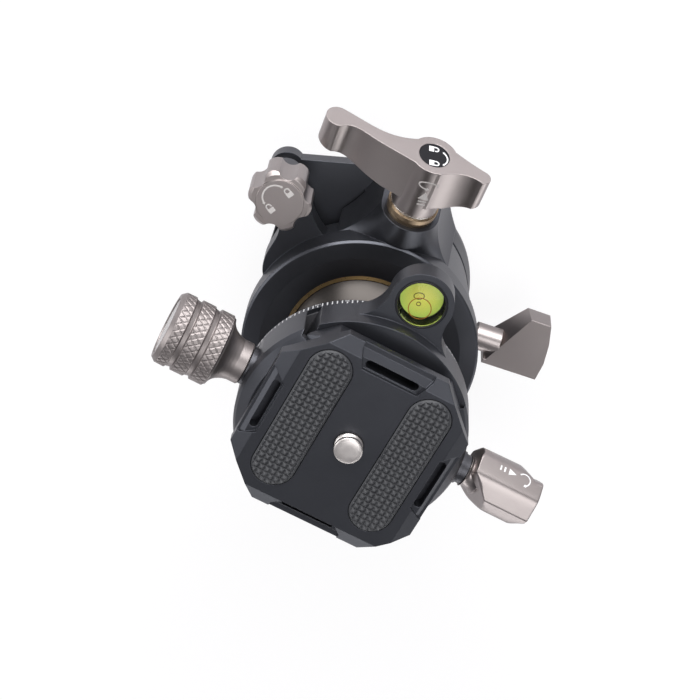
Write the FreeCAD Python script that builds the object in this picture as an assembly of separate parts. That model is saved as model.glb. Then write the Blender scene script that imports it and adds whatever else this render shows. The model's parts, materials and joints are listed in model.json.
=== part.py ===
import FreeCAD, Part
import math
import os

os.makedirs("parts", exist_ok=True)

V = FreeCAD.Vector

# Driving sizes, in millimetres and degrees. Z is the vertical axis of the ball and of both pan joints,
# X points to the side of the base's pan lock and Y to the side of the main lever. The foot is at Z = 0.
BALL_R = 22.0              # 44 mm ball
RUN_GAP = 0.05             # gap between surfaces that run or seat on each other
THREAD_GAP = 0.03          # radial gap between a screw and its tapped hole
PASS_GAP = 0.1             # radial gap round a screw that passes through

TRIPOD_R = 4.7625          # 3/8 inch thread, major radius
TRIPOD_DEPTH = 10.2
FOOT_R = 21.0              # foot of the base, 42 mm across
JOURNAL_R = 9.0            # journal that the bowl turns on
BEARING_T = 0.8
BOWL_FLANGE = 3.0
NUT_T = 2.1
NUT_R = 12.0               # retaining nut on the journal

HOUSE_WALL = 4.0           # from the ball's equator to the housing's lower edge
COLLAR_WALL = 6.4          # from the ball's equator to the collar's rim
COLLAR_RISE = 15.7         # top of the collar above the ball's centre
COLLAR_T = 7.0
RING_RISE = 9.5            # underside of the gold seat ring above the ball's centre
RING_T = 3.2
MOUTH_GAP = 0.55           # gap between the ball and the collar's mouth

LEVER_AZ, LEVER_EL = 70.2, 23.7                  # direction of the main lever's axis
LEVER_DROP = 3.3           # that axis starts this far below the ball's centre
LEVER_SCREW_R = 3.0
LEVER_RING_R = 6.0         # bronze thrust washer
BRONZE_T, STEEL_T = 2.6, 0.7
LEVER_HUB_R, LEVER_HUB_L = 5.6, 15.2

DRAG_AZ, DRAG_OUT = 113.03, 15.06                # drag knob's axis, outside the collar's rim
DRAG_SCREW_R = 2.0
LUG_R = 4.2
UPPER_LUG_T = 6.2
SLIT_DROP, SLIT_T = 10.0, 1.2                    # slit of the drag clamp, below the collar's underside
LOWER_LUG_T = 4.0
LOBES, LOBE_R, VALLEY_R = 6, 7.5, 5.7            # star of the drag knob
STAR_AZ = 41.5

PAN_AZ = -20.0             # radial axis of the base's pan lock
PAN_RISE = 4.2             # that axis above the parting line
PAN_SCREW_R = 2.5
WING_T = 6.8               # thickness of the wing knob

NECK_R, NECK_ROOT_R, NECK_L = 7.6, 8.0, 19.7     # waist and root of the neck, and its length over the ball
NECK_BOLT_R = 3.0

CLAMP_AZ = -29.45          # direction across the dovetail, from X
DOVE_HALF = 19.1           # half of the 38 mm dovetail, at the channel's floor
DOVE_STEP, DOVE_SLOPE = 0.8, 2.4                 # upright foot and 45 degree flank of the dovetail
CLAMP_WALL = 7.0           # from the dovetail to the clamp's rim
DISC_T = 2.5
CHANNEL_RISE = 10.0        # channel's floor above the clamp's underside
JAW_RISE = 3.8             # top of the jaws above the channel's floor
SCREW_RISE, LOCK_RISE = 4.5, 3.2                 # clamp screw and lock screw above the clamp's underside
SPINDLE_R, SPINDLE_L, RETAINER_R = 10.0, 8.0, 12.0
CLAMP_SCREW_R, LOCK_SCREW_R, PIN_R, PIN_V = 3.0, 2.5, 1.5, 11.0
JAW_OPEN = 1.0             # from the dovetail to the jaw's inner face
SPRING_R = 4.2

BARREL_R, BAND_L, GROOVE_L = 8.5, 3.6, 1.0       # knurled barrel of the clamp knob
LOCK_FLATS = 13.0          # octagon of the clamp's pan lock, across its flats
LOCK_TURN = 24.6           # one of its corners, from the vertical

EAR_OUT, EAR_R, EAR_T = 6.2, 7.2, 6.0            # ear of the bubble level, outside the clamp's rim
CUP_WALL, VIAL_WALL = 1.55, 1.3

PLATE_T = 4.0
PLATE_OUT = 3.8            # from the dovetail to the plate's long sides
PLATE_FRONT, PLATE_BACK = 23.2, 22.9             # ends of the plate along the dovetail
PLATE_CUT, PLATE_CUT_WIDE = 35.2, 37.0           # corner cuts: distance along X plus distance along Y
BEVEL_W, BEVEL_H = 3.2, 1.6
PAD_L, PAD_W, PAD_U, PAD_V = 36.5, 10.15, 12.1, 0.85
PAD_SINK, PAD_PROUD = 0.8, 0.9
CAMERA_R = 3.175           # 1/4 inch thread, major radius
CAMERA_NECK_R = 2.6
CAMERA_THREAD_L, CAMERA_TIP = 2.2, 0.5

# Sizes worked out from the driving ones.
FLOOR_Z = TRIPOD_DEPTH - 2.2
BOWL_Z0 = FLOOR_Z + BEARING_T + RUN_GAP
SHOULDER_Z = BOWL_Z0 + BOWL_FLANGE + 3 * RUN_GAP
JOURNAL_TOP = SHOULDER_Z + NUT_T + 0.2
BALL_Z = JOURNAL_TOP + 2.0 + BALL_R

SEAT_Z0 = BALL_Z - BALL_R - 0.1
LEDGE_Z = SEAT_Z0 - 2.2
UP_RO = BALL_R + 2.0       # upstand of the base, which the pan brake presses
UP_RI = UP_RO - 1.7
UP_TOP = BALL_Z - 11.3
BOWL_R = UP_RI - 0.06
BOWL_THREAD_R = BALL_R + 0.85
BOWL_TOP = UP_TOP + 5.0
RIM_R = UP_RO + 2.6        # widest part of the base
BASE_TOP = UP_TOP - 7.2    # parting line between the base and the housing

HOUSE_Z0 = BASE_TOP + 0.5
HOUSE_R = BALL_R + HOUSE_WALL
SKIRT_R = UP_RO + 0.1
SKIRT_TOP = UP_TOP + 1.0
COLLAR_R = BALL_R + COLLAR_WALL
COLLAR_Z1 = BALL_Z + COLLAR_RISE
COLLAR_Z0 = COLLAR_Z1 - COLLAR_T
RING_R = BALL_R - 1.1
RING_Z0 = BALL_Z + RING_RISE
RING_Z1 = RING_Z0 + RING_T
FLARE_R = BALL_R + 2.0

LEVER_Z = BALL_Z - LEVER_DROP
LUG_BOTTOM = COLLAR_Z0 - SLIT_DROP - LOWER_LUG_T
SHOE_END = BALL_R + 5.4
BOSS_END = COLLAR_R + 12.5
STEEL_S = BOSS_END + BRONZE_T
HUB_S = STEEL_S + STEEL_T + 2 * RUN_GAP
HUB_END = HUB_S + LEVER_HUB_L

DRAG_REACH = COLLAR_R + DRAG_OUT
DRAG_X = DRAG_REACH * math.cos(math.radians(DRAG_AZ))
DRAG_Y = DRAG_REACH * math.sin(math.radians(DRAG_AZ))
KNOB_Z0 = COLLAR_Z0 + 1.5

PAN_Z = BASE_TOP + PAN_RISE
PAN_BOSS_END = HOUSE_R + 2.3
WING_S = PAN_BOSS_END + 1.2

NECK_TOP = BALL_Z + BALL_R + NECK_L
CLAMP_Z0 = NECK_TOP + DISC_T + 0.5
CLAMP_R = DOVE_HALF + CLAMP_WALL
DISC_R = CLAMP_R - 0.5
SPINDLE_TOP = NECK_TOP + DISC_T + SPINDLE_L
CHANNEL_Z = CLAMP_Z0 + CHANNEL_RISE
JAW_TOP = CHANNEL_Z + JAW_RISE
SCREW_Z = CLAMP_Z0 + SCREW_RISE
LOCK_Z = CLAMP_Z0 + LOCK_RISE
JAW_FACE = -(DOVE_HALF + JAW_OPEN)
BODY_FACE = JAW_FACE + 2.4
SCREW_END = SPINDLE_R + 3.0
KNOB_S = CLAMP_R + 0.55
EAR_V = CLAMP_R + EAR_OUT
CUP_R = EAR_R - CUP_WALL
VIAL_R = CUP_R - VIAL_WALL
EAR_Z1 = CLAMP_Z0 + EAR_T

PLATE_Z0 = JAW_TOP + 0.2
PLATE_Z1 = PLATE_Z0 + PLATE_T
PLATE_HALF = DOVE_HALF + PLATE_OUT
PAD_Z0 = PLATE_Z1 - PAD_SINK
PAD_Z1 = PLATE_Z1 + PAD_PROUD
SCREW_HEAD_Z = CHANNEL_Z + 0.6

FAR = 60.0                 # beyond every side of the part, for cutting tools


def polar(radius, degrees):
    """Point at a radius and an angle."""
    return radius * math.cos(math.radians(degrees)), radius * math.sin(math.radians(degrees))


def chords(start, middle, end, count):
    """Points along an arc after its start, for a turned stretch that is made of plain cones."""
    arc = Part.Arc(V(*start, 0), V(*middle, 0), V(*end, 0))
    return [(point.x, point.y) for point in arc.discretize(count + 1)[1:]]


def dome(radius, z, height):
    """Arc step from a rim to the axis, on a sphere centred on the axis."""
    sphere_r = (radius ** 2 + height ** 2) / (2 * height)
    half_angle = math.asin(radius / sphere_r) / 2
    middle = (sphere_r * math.sin(half_angle), z + height - sphere_r * (1 - math.cos(half_angle)))
    return "arc", middle, (0, z + height)


def closed_wire(steps, place):
    """Closed wire through flat steps, each put in space by the function place.

    A step is a point, for a straight run to it, or ("arc", middle, end), or ("curve", point, point, ...)
    for one smooth curve through its points.
    """
    here = start = place(*steps[0])
    edges = []
    for step in steps[1:]:
        if step[0] == "arc":
            middle, there = place(*step[1]), place(*step[2])
            edges.append(Part.Arc(here, middle, there).toShape())
        elif step[0] == "curve":
            points = [here] + [place(*point) for point in step[1:]]
            curve = Part.BSplineCurve()
            curve.interpolate(points)
            edges.append(curve.toShape())
            there = points[-1]
        else:
            there = place(*step)
            edges.append(Part.makeLine(here, there))
        here = there
    if here.distanceToPoint(start) > 1e-6:
        edges.append(Part.makeLine(here, start))
    return Part.Wire(edges)


def revolve(steps, angle=360.0):
    """Solid of revolution about Z from an outline of (radius, height) steps."""
    face = Part.Face(closed_wire(steps, lambda r, z: V(r, 0, z)))
    return face.revolve(V(0, 0, 0), V(0, 0, 1), angle)


def prism(steps, z0, z1):
    """Upright prism over an outline of (x, y) steps."""
    face = Part.Face(closed_wire(steps, lambda x, y: V(x, y, z0)))
    return face.extrude(V(0, 0, z1 - z0))


def prism_along_y(steps, y0, y1):
    """Prism along y over an outline of (x, z) steps."""
    face = Part.Face(closed_wire(steps, lambda x, z: V(x, y0, z)))
    return face.extrude(V(0, y1 - y0, 0))


def prism_along_x(steps, x0, x1):
    """Prism along x over an outline of (y, z) steps."""
    face = Part.Face(closed_wire(steps, lambda y, z: V(x0, y, z)))
    return face.extrude(V(x1 - x0, 0, 0))


def tube(inner, outer, z0, z1):
    return revolve([(inner, z0), (outer, z0), (outer, z1), (inner, z1)])


def rod(radius, z0, z1, x=0.0, y=0.0):
    """Upright cylinder."""
    return Part.makeCylinder(radius, z1 - z0, V(x, y, z0))


def rod_along_x(radius, x0, x1, y, z):
    return Part.makeCylinder(radius, x1 - x0, V(x0, y, z), V(1, 0, 0))


def box(x0, x1, y0, y1, z0, z1):
    return Part.makeBox(x1 - x0, y1 - y0, z1 - z0, V(x0, y0, z0))


def stadium(cx, cy, length, width, z0, z1):
    """Upright slot shape that runs along y."""
    r = width / 2
    h = length / 2 - r
    return prism([(cx - r, cy - h), ("arc", (cx, cy - h - r), (cx + r, cy - h)), (cx + r, cy + h),
                  ("arc", (cx, cy + h + r), (cx - r, cy + h))], z0, z1)


def turned(shape, azimuth):
    """Turn a shape about the Z axis."""
    result = shape.copy()
    result.rotate(V(0, 0, 0), V(0, 0, 1), azimuth)
    return result


def moved(shape, x, y, z):
    result = shape.copy()
    result.translate(V(x, y, z))
    return result


def placed(shape, origin, x, z):
    """Move a shape's origin to a point, with its X and Z axes along the given directions."""
    y = z.cross(x)
    matrix = FreeCAD.Matrix(x.x, y.x, z.x, origin.x,
                            x.y, y.y, z.y, origin.y,
                            x.z, y.z, z.z, origin.z,
                            0, 0, 0, 1)
    result = shape.copy()
    result.Placement = FreeCAD.Placement(matrix).multiply(shape.Placement)
    return result


def lying(shape, azimuth, z):
    """Lay an upright shape down: its Z points out of the vertical axis, its X up."""
    return placed(shape, V(0, 0, z), V(0, 0, 1), V(*polar(1, azimuth), 0))


def on_lever(shape):
    """Place an upright shape on the main lever's axis, with X to the left seen from outside."""
    across, up = polar(1, LEVER_EL)
    out = V(*polar(across, LEVER_AZ), up)
    left = V(*polar(1, LEVER_AZ + 90), 0)
    return placed(shape, V(0, 0, LEVER_Z), left, out)


def clamped(shape):
    """Turn a shape that is built with x across the dovetail and y along it."""
    return turned(shape, CLAMP_AZ)


def at_drag(*points):
    """Points given from the drag knob's axis, in the part's frame."""
    return [(DRAG_X + x, DRAG_Y + y) for x, y in points]


def ball_solid(gap):
    return Part.makeSphere(BALL_R + gap, V(0, 0, BALL_Z))


def ball_radius(rise, gap):
    """Radius of the ball's section, with a gap round it, at a rise above its centre."""
    return math.sqrt((BALL_R + gap) ** 2 - rise ** 2)


def seat_radius(rise, z):
    """Radius at height z of the cone that touches the ball, but for its running gap, at a rise."""
    touch = ball_radius(rise, RUN_GAP)
    return touch - (z - BALL_Z - rise) * rise / touch


# The base: foot, rim, upstand for the pan brake, and journal for the bowl.
def base_disc():
    neck_r = JOURNAL_R - 1.1
    outline = [(0, 0), (FOOT_R - 0.6, 0), (FOOT_R, 0.6), (FOOT_R, 2.6), (RIM_R - 1.0, 9.2), (RIM_R, 10.4),
               (RIM_R, 12.6), (RIM_R - 0.5, BASE_TOP - 0.4), (RIM_R - 0.9, BASE_TOP), (UP_RO, BASE_TOP),
               (UP_RO, UP_TOP), (UP_RI, UP_TOP), (UP_RI, FLOOR_Z), (JOURNAL_R, FLOOR_Z),
               (JOURNAL_R, SHOULDER_Z), (neck_r, SHOULDER_Z), (neck_r, JOURNAL_TOP), (0, JOURNAL_TOP)]
    return revolve(outline).cut(rod(TRIPOD_R, -1, TRIPOD_DEPTH))


def pan_bearing_washer():
    return tube(JOURNAL_R + 0.4, UP_RI - 0.4, FLOOR_Z, FLOOR_Z + BEARING_T)


def pan_retaining_nut():
    """Ring nut on the journal, with two holes for a pin spanner."""
    nut = tube(JOURNAL_R - 1.1 + RUN_GAP, NUT_R, SHOULDER_Z, SHOULDER_Z + NUT_T)
    for angle in (0, 180):
        nut = nut.cut(rod(0.9, SHOULDER_Z + 0.8, FAR, *polar(JOURNAL_R + 1.3, angle)))
    return nut


# Inside the housing: the bowl, which turns on the journal and screws into the housing, and the seats.
def ball_bowl():
    foot_r = NUT_R + 1.0
    wall_r = BALL_R - 1.5
    flange_z = BOWL_Z0 + BOWL_FLANGE
    return revolve([(JOURNAL_R + 0.06, BOWL_Z0), (BOWL_R - 0.3, BOWL_Z0), (BOWL_R, BOWL_Z0 + 0.3),
                    (BOWL_R, UP_TOP + 0.4), (BOWL_THREAD_R, UP_TOP + 0.6), (BOWL_THREAD_R, BOWL_TOP),
                    (BALL_R - 0.5, BOWL_TOP), (wall_r, BOWL_TOP - 3.0), (wall_r, LEDGE_Z), (foot_r, LEDGE_Z),
                    (foot_r, flange_z), (JOURNAL_R + 0.06, flange_z)])


def seat_spring():
    """Disc spring between the bowl's ledge and the lower seat."""
    inner, outer = BALL_R - 7.8, BALL_R - 1.8
    return revolve([(inner, SEAT_Z0 - 1.0), (outer, LEDGE_Z), (outer, LEDGE_Z + 1.0), (inner, SEAT_Z0)])


def lower_ball_seat():
    """Ring with a conical seat, tangent to the ball."""
    touch_rise = -15.5
    inner, outer = BALL_R - 10.0, BALL_R - 1.6
    touch = ball_radius(touch_rise, RUN_GAP)
    low_z = BALL_Z + touch_rise + (inner - touch) * touch / -touch_rise
    return revolve([(inner, SEAT_Z0), (outer, SEAT_Z0), (outer, UP_TOP),
                    (seat_radius(touch_rise, UP_TOP), UP_TOP), (inner, low_z)])


def upper_seat_ring():
    """Gold ring under the collar, with a conical seat and a lip that shows in the mouth."""
    touch_rise = RING_RISE + 2.0
    lip_r = ball_radius(RING_RISE + RING_T, MOUTH_GAP) - RUN_GAP
    lip_z = RING_Z1 + 0.8
    return revolve([(seat_radius(touch_rise, RING_Z0), RING_Z0), (RING_R, RING_Z0), (RING_R, RING_Z1),
                    (lip_r, RING_Z1), (lip_r, lip_z), (seat_radius(touch_rise, lip_z), lip_z)])


# The housing: socket and collar, with the drag clamp's two lugs, the lever's boss and the pan lock's boss.
def upper_lug():
    left = at_drag((-5.8, -23.9), (-4.5, -17.1), (-1.6, -11.6), (-2.8, -4.6), (-LUG_R, -0.6))
    end = at_drag((0, LUG_R), (LUG_R, -0.6))
    right = at_drag((5.8, -5.8), (8.4, -12.4), (13.0, -16.0))
    inside = at_drag((3.0, -24.0))
    return prism([left[0], ("curve", *left[1:]), ("arc", *end), ("curve", *right), inside[0]],
                 COLLAR_Z0 - UPPER_LUG_T, COLLAR_Z0)


def lower_lug():
    """Lug that runs on as a straight ledge to the lever's boss."""
    left = at_drag((-6.5, -28.0), (-5.6, -21.0), (-3.2, -13.0), (-3.6, -7.0), (-LUG_R, 0))
    end = at_drag((-0.6, LUG_R - 0.04), (3.5, 2.32))
    ledge = at_drag((23.0, 0.5), (23.0, -20.0), (7.0, -30.0))
    return prism([left[0], ("curve", *left[1:]), ("arc", *end), *ledge], LUG_BOTTOM, LUG_BOTTOM + LOWER_LUG_T)


def lever_boss():
    """Boss of the main lever: arched sections on its axis, narrower outwards, cut off below and above."""
    arches = [(BOSS_END - 14.9, 14.0, 4.5), (BOSS_END - 7.9, 9.5, 5.8), (BOSS_END, 7.0, 6.9)]
    depth = 19.0
    sections = [closed_wire([(-half, -depth), (-half, 0), ("arc", (0, top), (half, 0)), (half, -depth)],
                            lambda x, y, s=s: V(x, y, s)) for s, half, top in arches]
    boss = on_lever(Part.makeLoft(sections, True, False))
    above = revolve([(0, COLLAR_Z1), (COLLAR_R, COLLAR_Z1), (COLLAR_R + 12, COLLAR_Z1 + 12),
                     (COLLAR_R + 12, FAR + BALL_Z), (0, FAR + BALL_Z)])
    return boss.common(box(-FAR, FAR, -FAR, FAR, LUG_BOTTOM, COLLAR_Z1 + FAR)).cut(above)


def housing_bore():
    """Space inside the housing, from the bowl's thread to the flared mouth."""
    thread_r = BOWL_THREAD_R + RUN_GAP
    thread_top = BOWL_TOP + 0.2
    mouth_r = ball_radius(RING_RISE + RING_T, MOUTH_GAP)
    return revolve([(0, SKIRT_TOP - 1), (thread_r, SKIRT_TOP - 1), (thread_r, thread_top),
                    (BALL_R + 0.5, thread_top), (BALL_R + 0.5, RING_Z0 - 4.8),
                    (BALL_R - 0.25, RING_Z0 - 4.4), (BALL_R - 0.25, RING_Z0 - 0.9),
                    (RING_R + RUN_GAP, RING_Z0 - 0.1), (RING_R + RUN_GAP, RING_Z1 + RUN_GAP),
                    (mouth_r, RING_Z1 + RUN_GAP), (mouth_r, RING_Z1 + 1.0), (FLARE_R, COLLAR_Z1),
                    (FLARE_R, COLLAR_Z1 + 6), (0, COLLAR_Z1 + 6)])


def drag_slit():
    """Slit through the housing's wall under the upper lug, which the drag clamp closes."""
    start, end = 87.5, 253.3
    slit_z = COLLAR_Z0 - SLIT_DROP
    ring = revolve([(BALL_R - 2, slit_z), (FAR, slit_z), (FAR, slit_z + SLIT_T),
                    (BALL_R - 2, slit_z + SLIT_T)], end - start)
    return turned(ring, start)


def housing():
    wall_top = COLLAR_R - 0.8
    shell = revolve([(0, SKIRT_TOP), (SKIRT_R, SKIRT_TOP), (SKIRT_R, HOUSE_Z0), (HOUSE_R - 0.4, HOUSE_Z0),
                     (HOUSE_R, HOUSE_Z0 + 0.4), (wall_top, COLLAR_Z0 - 0.6),
                     (COLLAR_R - 0.5, COLLAR_Z0 - 0.1), (COLLAR_R, COLLAR_Z0), (COLLAR_R, COLLAR_Z1 - 0.5),
                     (COLLAR_R - 0.5, COLLAR_Z1), (0, COLLAR_Z1)])
    pan_boss = lying(rod(LUG_R, BALL_R, PAN_BOSS_END), PAN_AZ, PAN_Z)
    pan_boss = pan_boss.common(box(-FAR, FAR, -FAR, FAR, HOUSE_Z0 + 0.4, FAR))
    shell = shell.fuse([upper_lug(), lower_lug(), lever_boss(), pan_boss])
    drag_hole_z = COLLAR_Z0 - SLIT_DROP + SLIT_T
    tools = [housing_bore(), rod(SKIRT_R, 0, SKIRT_TOP), drag_slit(),
             on_lever(rod(LEVER_SCREW_R + THREAD_GAP, BALL_R - 8, BOSS_END + 5)),
             lying(rod(PAN_SCREW_R + THREAD_GAP, BALL_R - 8, PAN_BOSS_END + 5), PAN_AZ, PAN_Z),
             rod(DRAG_SCREW_R + PASS_GAP, drag_hole_z, COLLAR_Z0 + 1, DRAG_X, DRAG_Y),
             rod(DRAG_SCREW_R + THREAD_GAP, LUG_BOTTOM - 1, drag_hole_z, DRAG_X, DRAG_Y)]
    return shell.cut(tools).removeSplitter()


# The ball lock: shoe, bronze thrust washer, steel ring, screw, two-armed lever and its inlay.
def ball_lock_shoe():
    rough = on_lever(rod(LEVER_SCREW_R, BALL_R - 7, SHOE_END)).cut(ball_solid(RUN_GAP))
    return max(rough.Solids, key=lambda solid: solid.CenterOfMass.z)


def lever_thrust_washer():
    """Bronze washer with a groove round its middle."""
    bore = LEVER_SCREW_R + PASS_GAP
    groove_r = LEVER_RING_R - 0.6
    return on_lever(revolve([(bore, BOSS_END), (LEVER_RING_R - 0.3, BOSS_END),
                             (LEVER_RING_R - 0.3, BOSS_END + 0.8), (groove_r, BOSS_END + 0.9),
                             (groove_r, BOSS_END + 1.2), (LEVER_RING_R, BOSS_END + 1.3),
                             (LEVER_RING_R, STEEL_S), (bore, STEEL_S)]))


def lever_washer():
    return on_lever(tube(LEVER_SCREW_R + PASS_GAP, LEVER_RING_R - 0.4, STEEL_S, STEEL_S + STEEL_T))


def lever_screw():
    return on_lever(rod(LEVER_SCREW_R, SHOE_END + PASS_GAP, HUB_END - 4.5))


def main_lever():
    """Hub with a long arm and a short one, which both rise outwards on their undersides."""
    arm_s = HUB_S + 3.3
    arms = prism([(0, 5.5),
                  ("curve", (3.8, 4.1), (9.0, 2.5), (14.8, 0.6), (18.8, -0.7), (22.2, 0.5)),
                  ("arc", (26.0, -2.2), (22.8, -5.15)),
                  ("curve", (18.2, -3.8), (11.5, -2.2), (5.0, -3.2), (1.7, -5.0)),
                  (-1.8, -4.7),
                  ("curve", (-7.4, -1.8), (-12.3, 0.1)),
                  ("arc", (-13.7, 1.9), (-12.0, 3.75)),
                  ("curve", (-9.3, 3.0), (-5.8, 3.5), (-2.4, 5.3))], arm_s, HUB_END)
    low = HUB_S - 5
    long_under = prism_along_y([(9.0, low), (30, low), (30, arm_s + 6.4),
                                ("arc", (18, arm_s + 2.2), (9.0, arm_s))], -20, 20)
    short_under = prism_along_y([(-6.0, low), (-20, low), (-20, arm_s + 6.0),
                                 ("arc", (-13, arm_s + 3.6), (-6.0, arm_s))], -20, 20)
    lever = arms.cut([long_under, short_under]).fuse(rod(LEVER_HUB_R, HUB_S, HUB_END)).removeSplitter()
    inlay_seat = rod(LEVER_HUB_R - 2.0, HUB_END - 0.8, HUB_END + 1)
    return on_lever(lever.cut([inlay_seat, rod(LEVER_SCREW_R, HUB_S - 1, HUB_END - 4.5)]))


def lever_inlay():
    return on_lever(rod(LEVER_HUB_R - 2.0 - RUN_GAP, HUB_END - 0.8, HUB_END - RUN_GAP))


# The drag clamp: six-lobed knob, its screw and washer.
def star_outline():
    """Lobes and valleys as arcs that meet between them."""
    pitch = 360 / LOBES
    meet_r = LOBE_R - 0.4
    meet = 13.0
    steps = [polar(meet_r, STAR_AZ - meet)]
    for k in range(LOBES):
        lobe = STAR_AZ + k * pitch
        steps.append(("arc", polar(LOBE_R, lobe), polar(meet_r, lobe + meet)))
        steps.append(("arc", polar(VALLEY_R, lobe + pitch / 2), polar(meet_r, lobe + pitch - meet)))
    return steps


def drag_knob():
    top = KNOB_Z0 + 10.0
    rim = revolve([(0, KNOB_Z0), (LOBE_R - 0.5, KNOB_Z0), (LOBE_R + 0.1, KNOB_Z0 + 0.6),
                   (LOBE_R + 0.1, top - 1.1), (LOBE_R - 0.9, top), (0, top)])
    star = prism(star_outline(), KNOB_Z0, top).common(rim)
    star = star.fuse(rod(VALLEY_R - 0.2, top - 0.5, top + 0.5)).removeSplitter()
    return moved(star.cut(rod(DRAG_SCREW_R, KNOB_Z0 - 1, KNOB_Z0 + 5.5)), DRAG_X, DRAG_Y, 0)


def drag_screw():
    return rod(DRAG_SCREW_R, LUG_BOTTOM + 0.4, KNOB_Z0 + 5.5, DRAG_X, DRAG_Y)


def drag_washer():
    return moved(tube(DRAG_SCREW_R + PASS_GAP, 4.0, COLLAR_Z0, KNOB_Z0 - PASS_GAP), DRAG_X, DRAG_Y, 0)


# The base's pan lock: lopsided wing knob, its screw and the brake shoe on the upstand.
def pan_lock_knob():
    """Wing cut back on one side by a plane that slants from its top edge to its bottom edge."""
    low, high = PAN_Z - WING_T / 2, PAN_Z + WING_T / 2
    s = WING_S
    wing = prism([(s + 3.6, -5.2), (s + 3.4, 2.4), (s + 10.8, 10.2), (s + 16.8, 10.1), (s + 18.1, 5.1),
                  (s + 18.7, -0.4), (s + 18.2, -5.2)], low, high)
    corner = [(s - 10, 24.0), (s - 10, 0.0)]
    upper = closed_wire([(s + 4.4, -4.2), (s + 11.7, 10.5), *corner], lambda x, y: V(x, y, high + 0.1))
    lower = closed_wire([(s + 2.2, -0.6), (s + 11.4, 11.0), *corner], lambda x, y: V(x, y, low))
    wing = turned(wing.cut(Part.makeLoft([lower, upper], True, True)), PAN_AZ)
    hub = lying(rod(LUG_R - 0.7, s, s + 6.5), PAN_AZ, PAN_Z)
    return wing.fuse(hub).removeSplitter().cut(lying(rod(PAN_SCREW_R, BALL_R, s + 11), PAN_AZ, PAN_Z))


def pan_lock_screw():
    return lying(rod(PAN_SCREW_R, UP_RO + 2.2, WING_S + 11), PAN_AZ, PAN_Z)


def pan_brake_shoe():
    blank = lying(rod(PAN_SCREW_R - RUN_GAP, BALL_R, UP_RO + 2.1), PAN_AZ, PAN_Z)
    return blank.cut(rod(UP_RO + RUN_GAP, 0, UP_TOP))


# The ball and what tilts with it: neck, graduated disc with its spindle, retainer and bolt.
def ball():
    return ball_solid(0)


def neck():
    root_z = BALL_Z + ball_radius(NECK_ROOT_R, RUN_GAP)
    apex_z = root_z + NECK_ROOT_R ** 2 / (root_z - BALL_Z)
    flange_r = NECK_R + 7.4
    waist = (NECK_R, NECK_TOP - 16.0)
    flare = chords(waist, (NECK_R + 1.8, NECK_TOP - 8.2), (NECK_R + 5.9, NECK_TOP - 2.4), 5)
    stem = revolve([(0, apex_z), (NECK_ROOT_R, root_z), (NECK_R, root_z + 2.4), waist, *flare,
                    (flange_r, NECK_TOP - 1.4), (flange_r, NECK_TOP), (0, NECK_TOP)])
    return stem.cut(rod(NECK_BOLT_R, NECK_TOP - 14, NECK_TOP + 1))


def graduated_disc():
    """Scale disc with the spindle that the clamp turns on."""
    disc_top = NECK_TOP + DISC_T
    disc = revolve([(0, NECK_TOP), (DISC_R - 1.2, NECK_TOP), (DISC_R, NECK_TOP + 0.8), (DISC_R, disc_top),
                    (SPINDLE_R, disc_top), (SPINDLE_R, SPINDLE_TOP), (0, SPINDLE_TOP)])
    return disc.cut(rod(NECK_BOLT_R + PASS_GAP, NECK_TOP - 1, SPINDLE_TOP + 1))


def clamp_bearing_washer():
    disc_top = NECK_TOP + DISC_T
    return tube(SPINDLE_R + 0.2, DISC_R - 1.0, disc_top, CLAMP_Z0 - RUN_GAP)


def clamp_retainer():
    """Cap on the spindle, sunk for the bolt's head, which keeps the clamp down."""
    cap = tube(NECK_BOLT_R + PASS_GAP, RETAINER_R, SPINDLE_TOP, SPINDLE_TOP + 2.0)
    return cap.cut(rod(NECK_BOLT_R + 2.6, SPINDLE_TOP + 0.7, SPINDLE_TOP + 3))


def neck_bolt():
    head_z = SPINDLE_TOP + 0.7
    hexagon = prism([polar(1.8, 60 * k) for k in range(6)], head_z + 0.2, head_z + 2)
    bolt = revolve([(0, NECK_TOP - 13.5), (NECK_BOLT_R, NECK_TOP - 13.5), (NECK_BOLT_R, head_z),
                    (NECK_BOLT_R + 2.4, head_z), (NECK_BOLT_R + 2.4, head_z + 1.3), (0, head_z + 1.3)])
    return bolt.cut(hexagon)


# The clamp, built with x across the dovetail and y along it. Jaw and body share one turned outline.
def clamp_blank():
    return revolve([(0, CLAMP_Z0), (CLAMP_R - 0.5, CLAMP_Z0), (CLAMP_R, CLAMP_Z0 + 0.5), (CLAMP_R, CHANNEL_Z),
                    (CLAMP_R - 0.6, CHANNEL_Z + 1.2), (CLAMP_R - 2.7, JAW_TOP), (0, JAW_TOP)])


def dovetail_steps(side, gap, low, high):
    """Flank of the dovetail on one side as (x, z) points: its upright foot and its 45 degree slope."""
    foot, lip = DOVE_HALF + gap, DOVE_HALF - DOVE_SLOPE + gap
    foot_z = CHANNEL_Z + DOVE_STEP + 0.1
    return [(side * foot, low), (side * foot, foot_z), (side * lip, foot_z + DOVE_SLOPE), (side * lip, high)]


def level_ear():
    """Ear that flares into the clamp's rim."""
    flank, root = EAR_V - 1.2, EAR_V - 9.0
    return prism([(-12.0, root - 3), (-11.6, root), ("arc", (-8.4, EAR_V - 6.1), (-7.1, flank)),
                  ("arc", (0, EAR_V + EAR_R), (7.1, flank)), ("arc", (8.4, EAR_V - 6.1), (11.6, root)),
                  (12.0, root - 3)], CLAMP_Z0, EAR_Z1)


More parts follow.
